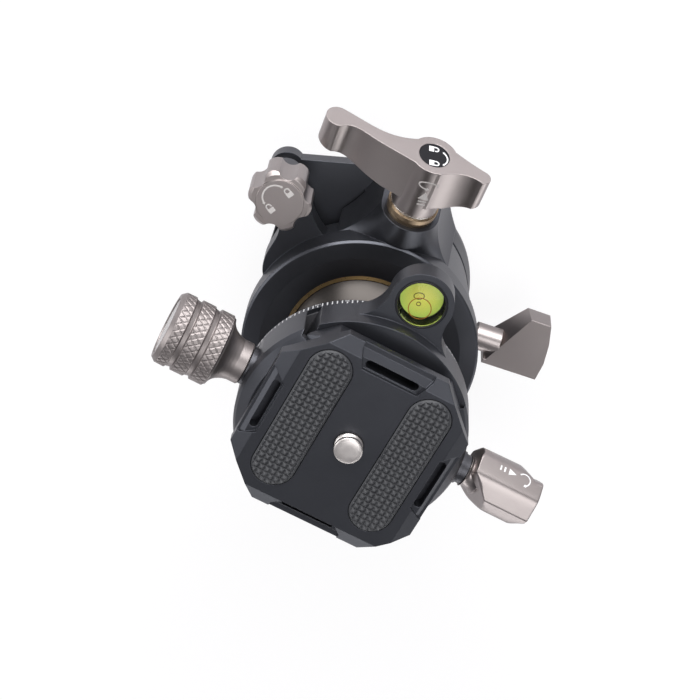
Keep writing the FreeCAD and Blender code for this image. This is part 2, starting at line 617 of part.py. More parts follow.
def clamp_body():
    channel = prism_along_y([(-FAR, CHANNEL_Z), *dovetail_steps(1, RUN_GAP, CHANNEL_Z, FAR * 2),
                             (-FAR, FAR * 2)], -FAR, FAR)
    jaw_space = box(-FAR, BODY_FACE, -FAR, FAR, CLAMP_Z0 - 1, JAW_TOP + 1)
    body = clamp_blank().cut([channel, jaw_space]).fuse(level_ear())
    tools = [rod(SPINDLE_R + 0.06, CLAMP_Z0 - 1, CHANNEL_Z + 1),
             rod(RETAINER_R + 0.15, SPINDLE_TOP - PASS_GAP, CHANNEL_Z + 1),
             rod_along_x(CLAMP_SCREW_R + THREAD_GAP, -FAR, -SCREW_END + 0.2, 0, SCREW_Z),
             rod_along_x(SPRING_R + 0.8, -FAR, BODY_FACE + 0.9, 0, SCREW_Z),
             rod_along_x(LOCK_SCREW_R + THREAD_GAP, SPINDLE_R - 2, FAR, 0, LOCK_Z),
             rod(CUP_R + RUN_GAP, CLAMP_Z0 + 0.8, EAR_Z1 + 1, 0, EAR_V)]
    tools += [rod_along_x(PIN_R, BODY_FACE - 1, BODY_FACE + 5.7, v, SCREW_Z) for v in (-PIN_V, PIN_V)]
    return clamped(body.cut(tools).removeSplitter())


def movable_jaw():
    hook_end = 15.5
    upright = clamp_blank().common(box(-FAR, JAW_FACE, -FAR, FAR, CLAMP_Z0 + 0.2, JAW_TOP + 1))
    flank = dovetail_steps(-1, RUN_GAP - 0.03, CHANNEL_Z + 0.12, JAW_TOP + 1)
    hook = prism_along_y([(-FAR, CHANNEL_Z + 0.12), *flank, (-FAR, JAW_TOP + 1)], -hook_end, hook_end)
    jaw = upright.fuse(clamp_blank().common(hook))
    tools = [rod_along_x(CLAMP_SCREW_R + 3 * PASS_GAP, -FAR, 0, 0, SCREW_Z),
             rod_along_x(SPRING_R + 0.8, JAW_FACE - 1.8, JAW_FACE + 1, 0, SCREW_Z),
             box(-FAR, -CLAMP_R + 0.7, -7, 7, CLAMP_Z0 - 1, CHANNEL_Z - 0.4)]
    tools += [rod_along_x(PIN_R + RUN_GAP, JAW_FACE - 2.4, JAW_FACE + 2, v, SCREW_Z) for v in (-PIN_V, PIN_V)]
    return clamped(jaw.cut(tools).removeSplitter())


def guide_pins():
    pins = [rod_along_x(PIN_R, JAW_FACE - 2.2, BODY_FACE + 5.6, v, SCREW_Z) for v in (-PIN_V, PIN_V)]
    return clamped(Part.makeCompound(pins))


def jaw_spring():
    """Spring of square wire round the clamp screw, between the jaw's recess and the body's."""
    turns, wire = 3, 0.6
    start, end = JAW_FACE - 1.8, BODY_FACE + 0.9
    run = end - start - wire - 0.2
    helix = Part.Wire(Part.makeHelix(run / turns, run, SPRING_R - wire / 2).Edges)
    half = wire / 2
    section = closed_wire([(SPRING_R - wire, -half), (SPRING_R, -half), (SPRING_R, half),
                           (SPRING_R - wire, half)], lambda r, z: V(r, 0, z))
    spring = helix.makePipeShell([section], True, True)
    spring.rotate(V(0, 0, 0), V(0, 1, 0), 90)
    return clamped(moved(spring, start + 0.1 + half, 0, SCREW_Z))


# The clamp knob: knurled barrel in three bands on a concave neck, its end cap, screw and washer.
def clamp_screw():
    return clamped(rod_along_x(CLAMP_SCREW_R, -KNOB_S - 14.3, -SCREW_END, 0, SCREW_Z))


def clamp_knob_washer():
    washer = tube(CLAMP_SCREW_R + 3 * PASS_GAP, 4.5, CLAMP_R - 0.7, KNOB_S - RUN_GAP)
    return lying(washer, CLAMP_AZ + 180, SCREW_Z)


def clamp_knob():
    chamfer = 0.3
    hub = (4.9, KNOB_S + 2.5)
    outline = [(0, KNOB_S), (4.9, KNOB_S), hub, *chords(hub, (6.0, KNOB_S + 5.1), (8.0, KNOB_S + 6.4), 3)]
    s = KNOB_S + 6.65
    for band in range(3):
        groove_r = BARREL_R - 0.6
        outline += [(BARREL_R, s + chamfer), (BARREL_R, s + BAND_L - chamfer), (groove_r, s + BAND_L)]
        if band < 2:
            outline.append((groove_r, s + BAND_L + GROOVE_L))
        s += BAND_L + GROOVE_L
    end = s - GROOVE_L
    outline += [(0, end)]
    barrel = revolve(outline)
    barrel = barrel.cut([rod(6.6, end - 0.9, end + 1), rod(CLAMP_SCREW_R, KNOB_S - 1, KNOB_S + 14.3)])
    return lying(barrel, CLAMP_AZ + 180, SCREW_Z)


def clamp_knob_cap():
    end = KNOB_S + 6.65 + 3 * BAND_L + 2 * GROOVE_L
    return lying(rod(6.5, end - 0.9, end - 0.2), CLAMP_AZ + 180, SCREW_Z)


# The clamp's pan lock: octagonal knob, screw, two washers and a brass shoe on the spindle.
def clamp_lock_screw():
    return lying(rod(LOCK_SCREW_R, SPINDLE_R + 3.6, CLAMP_R + 12.9), CLAMP_AZ, LOCK_Z)


def clamp_lock_shoe():
    blank = lying(rod(LOCK_SCREW_R - RUN_GAP, SPINDLE_R - 5, SPINDLE_R + 3.5), CLAMP_AZ, LOCK_Z)
    return blank.cut(rod(SPINDLE_R + 0.04, CLAMP_Z0 - 1, CHANNEL_Z + 1))


def clamp_lock_washer_dark():
    washer = tube(LOCK_SCREW_R + PASS_GAP, 3.9, CLAMP_R + RUN_GAP, CLAMP_R + 1.5)
    return lying(washer, CLAMP_AZ, LOCK_Z)


def clamp_lock_washer():
    return lying(tube(LOCK_SCREW_R + PASS_GAP, 3.5, CLAMP_R + 1.5, CLAMP_R + 2.9), CLAMP_AZ, LOCK_Z)


def clamp_lock_knob():
    """Octagonal block with a corner on top, cut off aslant at its ends, on a round concave neck."""
    s = CLAMP_R + 3.0
    corner_r = LOCK_FLATS / 2 / math.cos(math.pi / 8)
    block = prism([polar(corner_r, 45 * k) for k in range(8)], s + 2.1, s + 18)
    side = [(-6.1, s + 2.1), (-6.1, s + 11.0), (-4.06, s + 14.3), (-4.0, s + 16.6), (1.8, s + 17.9),
            (7.2, s + 15.7), (7.2, s + 2.1)]
    block = block.common(prism_along_x(side, -FAR, FAR))
    slant = placed(box(-FAR, FAR, -FAR, FAR, -FAR, 0), V(6.5, 0, s + 2.1), V(0.966, 0, 0.250),
                   V(-0.199, -0.611, 0.767))
    rim = (3.9, s)
    neck_part = revolve([(0, s), rim, *chords(rim, (3.5, s + 1.4), (4.6, s + 3.2), 3), (0, s + 3.2)])
    knob = block.cut(slant).fuse(neck_part).removeSplitter().cut(rod(LOCK_SCREW_R, s - 1, s + 9.9))
    knob.rotate(V(0, 0, 0), V(0, 0, 1), -LOCK_TURN)
    return lying(knob, CLAMP_AZ, LOCK_Z)


# The bubble level in the clamp's ear.
def level_cup():
    floor_z = CLAMP_Z0 + 0.85
    cup = revolve([(0, floor_z), (CUP_R, floor_z), (CUP_R, EAR_Z1 + 0.3), (VIAL_R + RUN_GAP, EAR_Z1 + 0.3),
                   (VIAL_R + RUN_GAP, floor_z + 0.45), (0, floor_z + 0.45)])
    return clamped(moved(cup, 0, EAR_V, 0))


def level_vial():
    return clamped(rod(VIAL_R, CLAMP_Z0 + 1.3, EAR_Z1 - 0.8, 0, EAR_V))


def level_lens():
    low, rim_z = EAR_Z1 - 0.8, EAR_Z1 - 0.15
    lens = revolve([(0, low), (VIAL_R, low), (VIAL_R, rim_z), dome(VIAL_R, rim_z, 0.5)])
    return clamped(moved(lens, 0, EAR_V, 0))


# The quick-release plate: bevelled octagon over a dovetail, with four strap slots and two pad recesses.
def plate_outline():
    """Octagon with one wide corner, as (x, y) points."""
    half, front, back = PLATE_HALF, PLATE_FRONT, PLATE_BACK
    wide = PLATE_CUT_WIDE
    return [(half, back - wide + half - back), (half, PLATE_CUT - half), (PLATE_CUT - front, front),
            (front - PLATE_CUT, front), (-half, PLATE_CUT - half), (-half, half - PLATE_CUT),
            (back - PLATE_CUT, -back), (wide - back, -back)]


def side_slot(inner, bar_in, bar_out, ends, flare):
    """Tools for one strap slot on the side of +x: a pocket that flares outwards, a slot beside its bar."""
    floor, bar_top = PLATE_Z1 - BEVEL_H - 0.5, PLATE_Z1 - BEVEL_H + 0.5
    low, high = ends
    plan = prism([(inner, low), (inner, high), (bar_out, high + flare), (FAR, high + flare),
                  (FAR, low - flare), (bar_out, low - flare)], floor, PLATE_Z1 + 1)
    pocket = plan.common(prism_along_y([(inner, bar_top), (bar_in, bar_top), (bar_out, floor), (FAR, floor),
                                        (FAR, PLATE_Z1 + 1), (inner, PLATE_Z1 + 1)], -FAR, FAR))
    middle, length = (low + high) / 2, high - low - 0.6
    start = inner + 0.35
    slot = stadium((start + bar_in) / 2, middle, length, bar_in - start, CHANNEL_Z - 1, PLATE_Z1 + 1)
    return [pocket, slot]


def qr_plate():
    outline = plate_outline()
    low, edge = PLATE_Z0, PLATE_Z1 - BEVEL_H
    over_x = [(-PLATE_HALF, low), (PLATE_HALF, low), (PLATE_HALF, edge), (PLATE_HALF - BEVEL_W, PLATE_Z1),
              (BEVEL_W - PLATE_HALF, PLATE_Z1), (-PLATE_HALF, edge)]
    over_y = [(-PLATE_BACK, low), (PLATE_FRONT, low), (PLATE_FRONT, edge), (PLATE_FRONT - BEVEL_W, PLATE_Z1),
              (BEVEL_W - PLATE_BACK, PLATE_Z1), (-PLATE_BACK, edge)]
    slab = prism_along_y(over_x, -PLATE_BACK, PLATE_FRONT)
    slab = slab.common(prism_along_x(over_y, -PLATE_HALF, PLATE_HALF))
    foot_z = CHANNEL_Z + 0.1
    toe = DOVE_HALF - 0.6
    rail = prism_along_y([(-toe, foot_z), (toe, foot_z), *dovetail_steps(1, 0, foot_z + 0.6, low + 0.2),
                          *reversed(dovetail_steps(-1, 0, foot_z + 0.6, low + 0.2))],
                         -PLATE_BACK + 2.4, PLATE_FRONT - 1.7)
    plate = slab.fuse(rail).common(prism(outline, foot_z, PLATE_Z1))
    sides = [(0, (PLATE_HALF - 3.8, PLATE_HALF - 1.6, PLATE_HALF - 0.6, (-7.0, 6.3), 2.3)),
             (180, (PLATE_HALF - 3.8, PLATE_HALF - 1.6, PLATE_HALF - 0.6, (-6.3, 7.0), 2.3)),
             (90, (PLATE_FRONT - 5.4, PLATE_FRONT - 3.1, PLATE_FRONT - 1.3, (-7.0, 6.3), 1.9)),
             (270, (PLATE_BACK - 3.2, PLATE_BACK - 2.0, PLATE_BACK - 1.2, (-6.3, 7.0), 1.9))]
    tools = [turned(tool, angle) for angle, sizes in sides for tool in side_slot(*sizes)]
    tools += [stadium(side * PAD_U, PAD_V, PAD_L, PAD_W, PAD_Z0, PLATE_Z1 + 1) for side in (-1, 1)]
    tools += [rod(CAMERA_R + 0.075, CHANNEL_Z, PLATE_Z1 + 1), rod(8.4, CHANNEL_Z - 1, SCREW_HEAD_Z + 4)]
    return clamped(plate.cut(tools).removeSplitter())


def plate_pad(side):
    pad = stadium(side * PAD_U, PAD_V, PAD_L - 2 * RUN_GAP, PAD_W - 2 * RUN_GAP, PAD_Z0, PAD_Z1)
    rim = [edge for edge in pad.Edges if all(abs(vertex.Z - PAD_Z1) < 1e-6 for vertex in edge.Vertexes)]
    return clamped(pad.makeChamfer(0.3, rim))


def camera_screw():
    """Captive screw: slotted head in the dovetail, thin neck through the plate, short threaded end."""
    head_top = SCREW_HEAD_Z + 2.0
    thread_z0 = PLATE_Z1 + 0.1
    thread_z1 = thread_z0 + CAMERA_THREAD_L
    screw = revolve([(0, SCREW_HEAD_Z), (8.0, SCREW_HEAD_Z), (8.0, head_top), (CAMERA_NECK_R, head_top),
                     (CAMERA_NECK_R, thread_z0), (CAMERA_R, thread_z0), (CAMERA_R, thread_z1),
                     dome(CAMERA_R, thread_z1, CAMERA_TIP)])
    return clamped(screw.cut(box(-6, 6, -0.7, 0.7, SCREW_HEAD_Z - 1, SCREW_HEAD_Z + 1.3)))


PIECES = [base_disc, pan_bearing_washer, pan_retaining_nut, housing, ball_bowl, seat_spring, lower_ball_seat,
          upper_seat_ring, ball_lock_shoe, lever_thrust_washer, lever_washer, lever_screw, main_lever,
          lever_inlay, drag_knob, drag_screw, drag_washer, pan_lock_knob, pan_lock_screw, pan_brake_shoe,
          ball, neck, graduated_disc, clamp_bearing_washer, clamp_retainer, neck_bolt, clamp_body,
          movable_jaw, guide_pins, jaw_spring, clamp_screw, clamp_knob_washer, clamp_knob, clamp_knob_cap,
          clamp_lock_screw, clamp_lock_shoe, clamp_lock_washer_dark, clamp_lock_washer, clamp_lock_knob,
          level_cup, level_vial, level_lens, qr_plate, camera_screw]


def save(name, shape):
    if shape.ShapeType == "Compound" and len(shape.Solids) == 1:
        shape = shape.Solids[0]
    shape.exportStep("parts/" + name + ".step")


for piece in PIECES:
    save(piece.__name__, piece())
for name, side in (("plate_pad_left", -1), ("plate_pad_right", 1)):
    save(name, plate_pad(side))
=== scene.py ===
# %% [markdown]
# # A panning ball head for a camera
# The head is built from its CAD pieces, which stay where they are, and this script gives each piece its
# finish. It adds what is too fine for the CAD model: the knurl of the clamp's knob, the thread of the
# camera screw, the pyramids of the rubber pads, the scale and the small signs. It also makes the clamp's
# lock knob and the bubble level anew, closer to the real ones than the CAD pieces are.

# %% Load the frame
import json
import math

import bpy
import numpy as np
from mathutils import Matrix, Vector


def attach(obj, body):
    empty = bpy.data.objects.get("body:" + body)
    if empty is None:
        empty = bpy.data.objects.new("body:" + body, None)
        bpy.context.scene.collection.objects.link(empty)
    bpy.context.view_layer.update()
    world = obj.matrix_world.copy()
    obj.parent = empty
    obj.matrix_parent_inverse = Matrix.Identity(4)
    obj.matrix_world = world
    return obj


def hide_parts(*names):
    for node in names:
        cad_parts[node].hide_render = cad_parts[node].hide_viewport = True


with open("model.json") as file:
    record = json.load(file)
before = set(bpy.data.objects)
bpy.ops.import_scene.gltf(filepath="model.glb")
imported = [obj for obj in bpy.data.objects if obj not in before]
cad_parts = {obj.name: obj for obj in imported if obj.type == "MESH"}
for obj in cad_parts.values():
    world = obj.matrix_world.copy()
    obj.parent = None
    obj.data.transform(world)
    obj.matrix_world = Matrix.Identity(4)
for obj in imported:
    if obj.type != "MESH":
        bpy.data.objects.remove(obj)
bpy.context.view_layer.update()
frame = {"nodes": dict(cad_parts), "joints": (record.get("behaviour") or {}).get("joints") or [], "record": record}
NODES = frame["nodes"]
JOINTS = {joint["name"]: joint for joint in frame["joints"]}
MM = 0.001
print("loaded", len(NODES), "pieces")

# %% [markdown]
# ## Places to stand
# The knobs lie on slanted axes. Their details could be modelled on the slant, but they are easier to draw
# flat, in millimetres, and then stand up. A small class holds a place: an origin and three directions.
# The axes come from the model's own joints, so that a mark stays on its knob when the model changes.


# %% A place with its own axes
class Place:
    """An origin in millimetres and three square directions, the last one pointing out of the piece."""

    def __init__(self, origin, across, out):
        self.origin = np.array(origin, float)
        self.out = np.array(Vector(out).normalized())
        side = np.array(across, float)
        side = side - self.out * (side @ self.out)
        self.across = side / np.linalg.norm(side)
        self.up = np.cross(self.out, self.across)

    def at(self, points):
        """Points (across, up, out) of this place, turned into metres of the model's frame."""
        return (self.along(points) + self.origin) * MM

    def along(self, ways):
        """Directions (across, up, out) of this place, turned into directions of the model's frame."""
        return np.asarray(ways, float) @ np.stack([self.across, self.up, self.out])


def joint_place(name, across):
    """The place of a joint: its own point and axis, with the given direction across."""
    joint = JOINTS[name]
    origin = np.array(joint["pos_m"]) / MM
    return Place(origin, across, joint["axis"])


LEVER = joint_place("main_lever_turn", (1, 0, 0))
STAR = joint_place("drag_knob_turn", (1, 0, 0))
BARREL = joint_place("clamp_knob_turn", (0, 0, 1))
GRIP = joint_place("clamp_lock_turn", (0, 0, 1))
PLATE = Place((0, 0, 0), GRIP.out, (0, 0, 1))
print("places on the joints:", LEVER.out.round(3), GRIP.out.round(3))

# %% [markdown]
# ## From arrays to meshes
# A mesh can be modelled point by point, but a formula for all points at once is shorter and quicker. Every
# new piece here is a grid of points worked out as whole arrays. One helper lists the four-sided faces that
# join a grid, and another makes the piece and shades it smoothly, except over edges that are sharper than
# the angle below.

# %% Meshes from arrays
SHARP = math.radians(32)


def mesh_piece(name, points, faces, body, material):
    """A piece from points in metres and a list of faces, riding on a body with a slot's finish."""
    mesh = bpy.data.meshes.new(name)
    mesh.from_pydata(np.asarray(points).tolist(), [], [list(face) for face in faces])
    mesh.polygons.foreach_set("use_smooth", np.full(len(mesh.polygons), True))
    mesh.set_sharp_from_angle(angle=SHARP)
    mesh.update()
    mesh.materials.append(material)
    piece = bpy.data.objects.new(name, mesh)
    bpy.context.scene.collection.objects.link(piece)
    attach(piece, body)
    return piece


def grid_faces(rows, columns, around=False, closed_rows=False):
    """Faces of a grid; around joins the last column to the first, and closed_rows the last row."""
    row = np.arange(rows if closed_rows else rows - 1)[:, None]
    column = np.arange(columns if around else columns - 1)[None, :]
    after_row, after_column = (row + 1) % rows, (column + 1) % columns
    corners = [row * columns + column, row * columns + after_column,
               after_row * columns + after_column, after_row * columns + column]
    return np.stack(np.broadcast_arrays(*corners), -1).reshape(-1, 4)


# %% [markdown]
# ## Shader maths as plain expressions
# A finish is arithmetic on patterns, and wiring its nodes one by one hides the sum. One small class wraps
# a node's output, so that a sum or a product in Python adds the Math node that does it. A second class
# holds the material, and one method of it adds any other node.


# %% Expressions on sockets
class Value:
    """An output of a node. Arithmetic on it adds Math nodes to the same material."""

    def __init__(self, finish, output):
        self.finish = finish
        self.output = output

    def maths(self, operation, *others):
        """A Math node of the given kind, with this value as its first number."""
        return self.finish.add("Math", {"operation": operation}, dict(enumerate((self, *others))))

    def __add__(self, other):
        return self.maths("ADD", other)

    def __sub__(self, other):
        return self.maths("SUBTRACT", other)

    def __rsub__(self, other):
        return self * -1 + other

    def __mul__(self, other):
        return self.maths("MULTIPLY", other)

    __radd__, __rmul__ = __add__, __mul__


# %% A material made of expressions
MIX_FIRST, MIX_SECOND, MIX_RESULT = 6, 7, 2
BEVEL_SAMPLES = 6


class Finish:
    """A material whose nodes are written as expressions. The Mix node's colour sockets go by number."""

    def __init__(self, name):
        self.material = bpy.data.materials.new(name)
        self.material.use_nodes = True
        self.tree = self.material.node_tree
        self.tree.nodes.clear()

    def add(self, kind, settings=None, sockets=None, output=0):
        """Add a node: its settings first, then the values or links of its sockets, by name or number."""
        made = self.tree.nodes.new("ShaderNode" + kind)
        for key, value in (settings or {}).items():
            setattr(made, key, value)
        for key, value in (sockets or {}).items():
            if isinstance(value, Value):
                self.tree.links.new(value.output, made.inputs[key])
            else:
                made.inputs[key].default_value = value
        return Value(self, made.outputs[output]) if made.outputs else None

    def place(self, centre_mm=(0, 0, 0)):
        """The point on the piece, measured from a centre, in metres."""
        where = self.add("TexCoord", output="Object")
        centre = tuple(part * MM for part in centre_mm)
        return self.add("VectorMath", {"operation": "SUBTRACT"}, {0: where, 1: centre})

    def height(self, where):
        """How high a point lies."""
        return self.add("SeparateXYZ", sockets={"Vector": where}, output="Z")

    def distance(self, where):
        """Distance from the upright axis through the centre."""
        flat = self.add("VectorMath", {"operation": "MULTIPLY"}, {0: where, 1: (1, 1, 0)})
        return self.add("VectorMath", {"operation": "LENGTH"}, {0: flat}, output="Value")

    def noise(self, where, size_mm, detail=2.0):
        """Noise from 0 to 1 whose lumps are about that many millimetres across."""
        sockets = {"Vector": where, "Scale": 1 / (size_mm * MM), "Detail": detail}
        return self.add("TexNoise", sockets=sockets)

    def colours(self, share, first, second):
        """A colour between two colours, by a share from 0 to 1."""
        sockets = {"Factor": share, MIX_FIRST: (*first, 1), MIX_SECOND: (*second, 1)}
        return self.add("Mix", {"data_type": "RGBA"}, sockets, output=MIX_RESULT)

    def bump(self, height, depth_mm, normal):
        """A normal from a height between 0 and 1 that stands for that many millimetres."""
        sockets = {"Height": height, "Distance": depth_mm * MM, "Strength": 1.0, "Normal": normal}
        return self.add("Bump", sockets=sockets)

    def rounded(self, radius_mm):
        """A normal that rounds sharp edges by the given radius."""
        return self.add("Bevel", {"samples": BEVEL_SAMPLES}, {"Radius": radius_mm * MM})

    def surface(self, **sockets):
        """The shader that ends the material; names of sockets are written with _ for a space."""
        named = {key.replace("_", " "): value for key, value in sockets.items()}
        shader = self.add("BsdfPrincipled", sockets=named)
        self.add("OutputMaterial", sockets={"Surface": shader})
        return self.material


# %% [markdown]
# ## Anodised aluminium
# The knobs are blasted with fine beads and then anodised, which leaves a warm grey. The oxide is clear and
# dyed, so the metal still shines through it: a high metallic value, with a noise of a tenth of a millimetre
# in the normal. The black casings are turned on a lathe before they are anodised, so their normal also has
# fine rings. The rings of a Wave texture would show on the flat faces only, so these are a sine of the
# distance to the axis plus the height, which runs over the round walls too. A Bevel node breaks the model's
# sharp edges, so that they catch the light as a machined edge does.

# %% Blasted metal and turned metal
EDGE_BREAK = 0.25
DRIFT, DRIFT_DETAIL = 9.0, 3.0
GRAIN, GRAIN_DEPTH = 0.11, 0.004
BLASTED_GLOSS, TURNED_GLOSS = 0.12, 0.1
RING_PITCH, RING_DEPTH, RING_SHARE = 0.16, 0.0025, 0.25


def blasted_metal(name, dark, light, roughness):
    """Bead-blasted metal: its colour and gloss drift a little, and its grain is in the normal."""
    finish = Finish(name)
    where = finish.place()
    drift = finish.noise(where, DRIFT, DRIFT_DETAIL)
    grain = finish.noise(where, GRAIN)
    return finish.surface(
        Base_Color=finish.colours(drift, dark, light),
        Metallic=1.0,
        Roughness=(grain - 0.5) * BLASTED_GLOSS + roughness,
        Normal=finish.bump(grain, GRAIN_DEPTH, finish.rounded(EDGE_BREAK)),
    )


def turned_metal(name, dark, light, roughness, metallic, edge=EDGE_BREAK):
    """Metal turned about the upright axis: a sine of distance plus height cuts rings of one pitch."""
    finish = Finish(name)
    where = finish.place()
    run = (finish.distance(where) + finish.height(where)) * (2 * math.pi / (RING_PITCH * MM))
    drift = finish.noise(where, DRIFT, DRIFT_DETAIL)
    grain = finish.noise(where, GRAIN)
    rings = run.maths("SINE") * RING_SHARE + grain * (1 - RING_SHARE)
    return finish.surface(
        Base_Color=finish.colours(drift, dark, light),
        Metallic=metallic,
        Roughness=(grain - 0.5) * TURNED_GLOSS + roughness,
        Normal=finish.bump(rings, RING_DEPTH, finish.rounded(edge)),
    )


# %% [markdown]
# ## Steel, bronze and brass
# The washers, the screws and the gold ring are plain metals. They carry their colour in the metal itself
# and differ in how rough they are. Real tool marks are too fine to see one by one, so a noise that varies
# the colour and the gloss a little stands for them.

# %% Plain metals
PLAIN_EDGE, PLAIN_GLOSS = 0.12, 0.16
SCRATCHED, SCRATCH_DETAIL = 0.86, 4.0


def plain_metal(name, colour, roughness, scratch_mm=0.5):
    """Machined metal with a little unevenness in its gloss."""
    finish = Finish(name)
    scratches = finish.noise(finish.place(), scratch_mm, SCRATCH_DETAIL)
    darker = tuple(SCRATCHED * part for part in colour)
    return finish.surface(
        Base_Color=finish.colours(scratches, darker, colour),
        Metallic=1.0,
        Roughness=(scratches - 0.5) * PLAIN_GLOSS + roughness,
        Normal=finish.rounded(PLAIN_EDGE),
    )


# %% [markdown]
# ## Rubber, plastic and ink
# None of these is metallic. All have a fine uneven skin, made by a noise in the normal and in the gloss;
# on printed ink it is shallower. A lower specular level keeps the blackest pieces from looking grey.

# %% Moulded skins
SKIN_GRAIN, SKIN_DETAIL = 0.25, 3.0
SKIN_DEPTH, INK_DEPTH = 0.01, 0.003
SKIN_EDGE, SKIN_GLOSS, SKIN_LIGHTER = 0.1, 0.15, 1.25


def moulded(name, colour, roughness, depth_mm=SKIN_DEPTH, shine=0.5):
    """Rubber, plastic or ink: a fine uneven skin and a colour that varies slightly."""
    finish = Finish(name)
    uneven = finish.noise(finish.place(), SKIN_GRAIN, SKIN_DETAIL)
    lighter = tuple(min(1, SKIN_LIGHTER * part) for part in colour)
    return finish.surface(
        Base_Color=finish.colours(uneven, colour, lighter),
        Roughness=(uneven - 0.5) * SKIN_GLOSS + roughness,
        Specular_IOR_Level=shine,
        Normal=finish.bump(uneven, depth_mm, finish.rounded(SKIN_EDGE)),
    )


# %% [markdown]
# ## The level's materials
# The liquid is clear and dyed yellow-green, and such dyes glow in daylight. What the eye sees is the bright
# floor of the cup through the liquid, and the cup's black wall beside it. A volume shader could do this,
# but slowly and with noise. So the floor is a pale disc with a painted glow, which stands in for the light
# that would reach it through the window and the liquid; the liquid is a clear tint that hardly bends the
# light, and the window bends it a little more.

# %% Dye, liquid and window
DYE_CLOUD, DYE_ROUGHNESS = 2.5, 0.4
HAZE, HAZE_PALER = 4.0, 1.04


def glowing_dye(name, centre_mm, radius_mm, inner, outer, strength):
    """A pale disc, one colour in the middle and another at its rim, and a painted glow in place of lamplight."""
    finish = Finish(name)
    where = finish.place(centre_mm)
    rim = (finish.distance(where) * (1 / (radius_mm * MM))).maths("POWER", 2.0)
    colour = finish.colours(rim, inner, outer)
    cloud = finish.noise(where, DYE_CLOUD)
    return finish.surface(
        Base_Color=colour,
        Roughness=cloud * 0.1 + DYE_ROUGHNESS,
        Emission_Color=colour,
        Emission_Strength=strength,
    )


def clear(name, tint, ior, roughness):
    """Something clear, with a tint and an index that says how much it bends the light."""
    finish = Finish(name)
    haze = finish.noise(finish.place(), HAZE)
    paler = tuple(min(1, HAZE_PALER * part) for part in tint)
    return finish.surface(
        Base_Color=finish.colours(haze, tint, paler),
        Transmission_Weight=1.0,
        Roughness=haze * 0.01 + roughness,
        IOR=ior,
    )


# %% [markdown]
# ## Dressing the model
# The imported record names a material slot for every piece, so one table of finishes dresses the whole
# model. Five pieces need a finish of their own: the casing is a little lighter, a painted sheen that stands
# in for the highlights of its turned faces; the edges of the ball's neck are rounded more, the camera screw
# is worn, and the washers of two knobs are darker.

# %% Finishes by slot
BLACK_DARK, BLACK_LIGHT = (0.050, 0.052, 0.061), (0.064, 0.067, 0.077)
# The casing's colours are lighter than the other black parts: a painted sheen for its turned faces' highlights.
CASING_SHEEN_DARK, CASING_SHEEN_LIGHT = (0.068, 0.071, 0.082), (0.086, 0.089, 0.101)
TITANIUM_DARK, TITANIUM_LIGHT = (0.33, 0.295, 0.288), (0.38, 0.343, 0.336)
BALL_DARK, BALL_LIGHT = (0.05, 0.045, 0.042), (0.07, 0.064, 0.06)
NECK_EDGE = 1.5

FINISHES = {
    "black_anodised": turned_metal("black_anodised", BLACK_DARK, BLACK_LIGHT, 0.36, 0.85),
    "titanium_anodised": blasted_metal("titanium_anodised", TITANIUM_DARK, TITANIUM_LIGHT, 0.34),
    "ball_metal": turned_metal("ball_metal", BALL_DARK, BALL_LIGHT, 0.34, 1.0),
    "gold_ring": plain_metal("gold_ring", (0.98, 0.70, 0.34), 0.3),
    "bronze": plain_metal("bronze", (0.36, 0.27, 0.18), 0.38),
    "steel": plain_metal("steel", (0.66, 0.64, 0.62), 0.27),
    "dark_steel": plain_metal("dark_steel", (0.09, 0.09, 0.10), 0.4),
    "brass": plain_metal("brass", (0.70, 0.52, 0.22), 0.3),
    "bearing_plastic": moulded("bearing_plastic", (0.05, 0.05, 0.055), 0.5),
    "pad_rubber": moulded("pad_rubber", (0.032, 0.033, 0.037), 0.55),
    "inlay_black": moulded("inlay_black", (0.008, 0.008, 0.010), 0.5, shine=0.15),
    "level_housing": moulded("level_housing", (0.014, 0.014, 0.016), 0.6, shine=0.15),
    "level_liquid": clear("level_liquid", (0.90, 0.94, 0.60), 1.02, 0.0),
    "level_window": clear("level_window", (0.96, 0.99, 0.93), 1.25, 0.03),
}
OWN_FINISHES = {
    "housing": turned_metal("turned_casing_painted_sheen", CASING_SHEEN_DARK, CASING_SHEEN_LIGHT, 0.36, 0.9),
    "neck": turned_metal("rounded_neck", BALL_DARK, BALL_LIGHT, 0.34, 1.0, NECK_EDGE),
    "camera_screw": plain_metal("worn_steel", (0.70, 0.66, 0.64), 0.42, 1.5),
    "clamp_knob_washer": FINISHES["dark_steel"],
    "clamp_lock_washer": FINISHES["dark_steel"],
}
SCALE_INK = moulded("scale_ink", (0.34, 0.34, 0.35), 0.5, INK_DEPTH)
WHITE_INK = moulded("white_ink", (0.62, 0.62, 0.63), 0.55, INK_DEPTH, 0.2)
PALE_ENGRAVING = moulded("pale_engraving", (0.42, 0.40, 0.39), 0.5, INK_DEPTH)

for part in frame["record"]["subparts"]:
    node = NODES[part["node"]]
    node.data.materials.clear()
    node.data.materials.append(OWN_FINISHES.get(part["node"], FINISHES[part["material_slot"]]))
print("finishes:", len(FINISHES), "by slot and", len(OWN_FINISHES), "for single pieces")

# %% [markdown]
# ## Turned shapes
# The next pieces are turned, and on some the radius also depends on the angle. A grid holds such a shape:
# its rows run along the profile and its columns go round. Where a hole runs through the piece, the last
# row joins the first, and otherwise a flat face closes each end.


# %% Turned pieces
def turned_grid(radius, height):
    """Points of a turned surface: row by row at its height, column k at the k-th share of a full turn."""
    turn = np.linspace(0, 2 * np.pi, radius.shape[1], endpoint=False)
    height = np.broadcast_to(height[:, None], radius.shape)
    return np.stack([radius * np.cos(turn), radius * np.sin(turn), height], -1)


def round_rows(radii, columns):
    """Rows of a plain turned surface, each with one radius all the way round."""
    radii = np.asarray(radii, float)
    return np.broadcast_to(radii[:, None], (len(radii), columns))


def closed_ends(rows, columns):
    """Faces of a grid that is closed around, with one face over its first row and one over its last."""
    ring = np.arange(columns)
    first, last = ring[::-1].tolist(), (ring + (rows - 1) * columns).tolist()
    return [*grid_faces(rows, columns, around=True).tolist(), first, last]


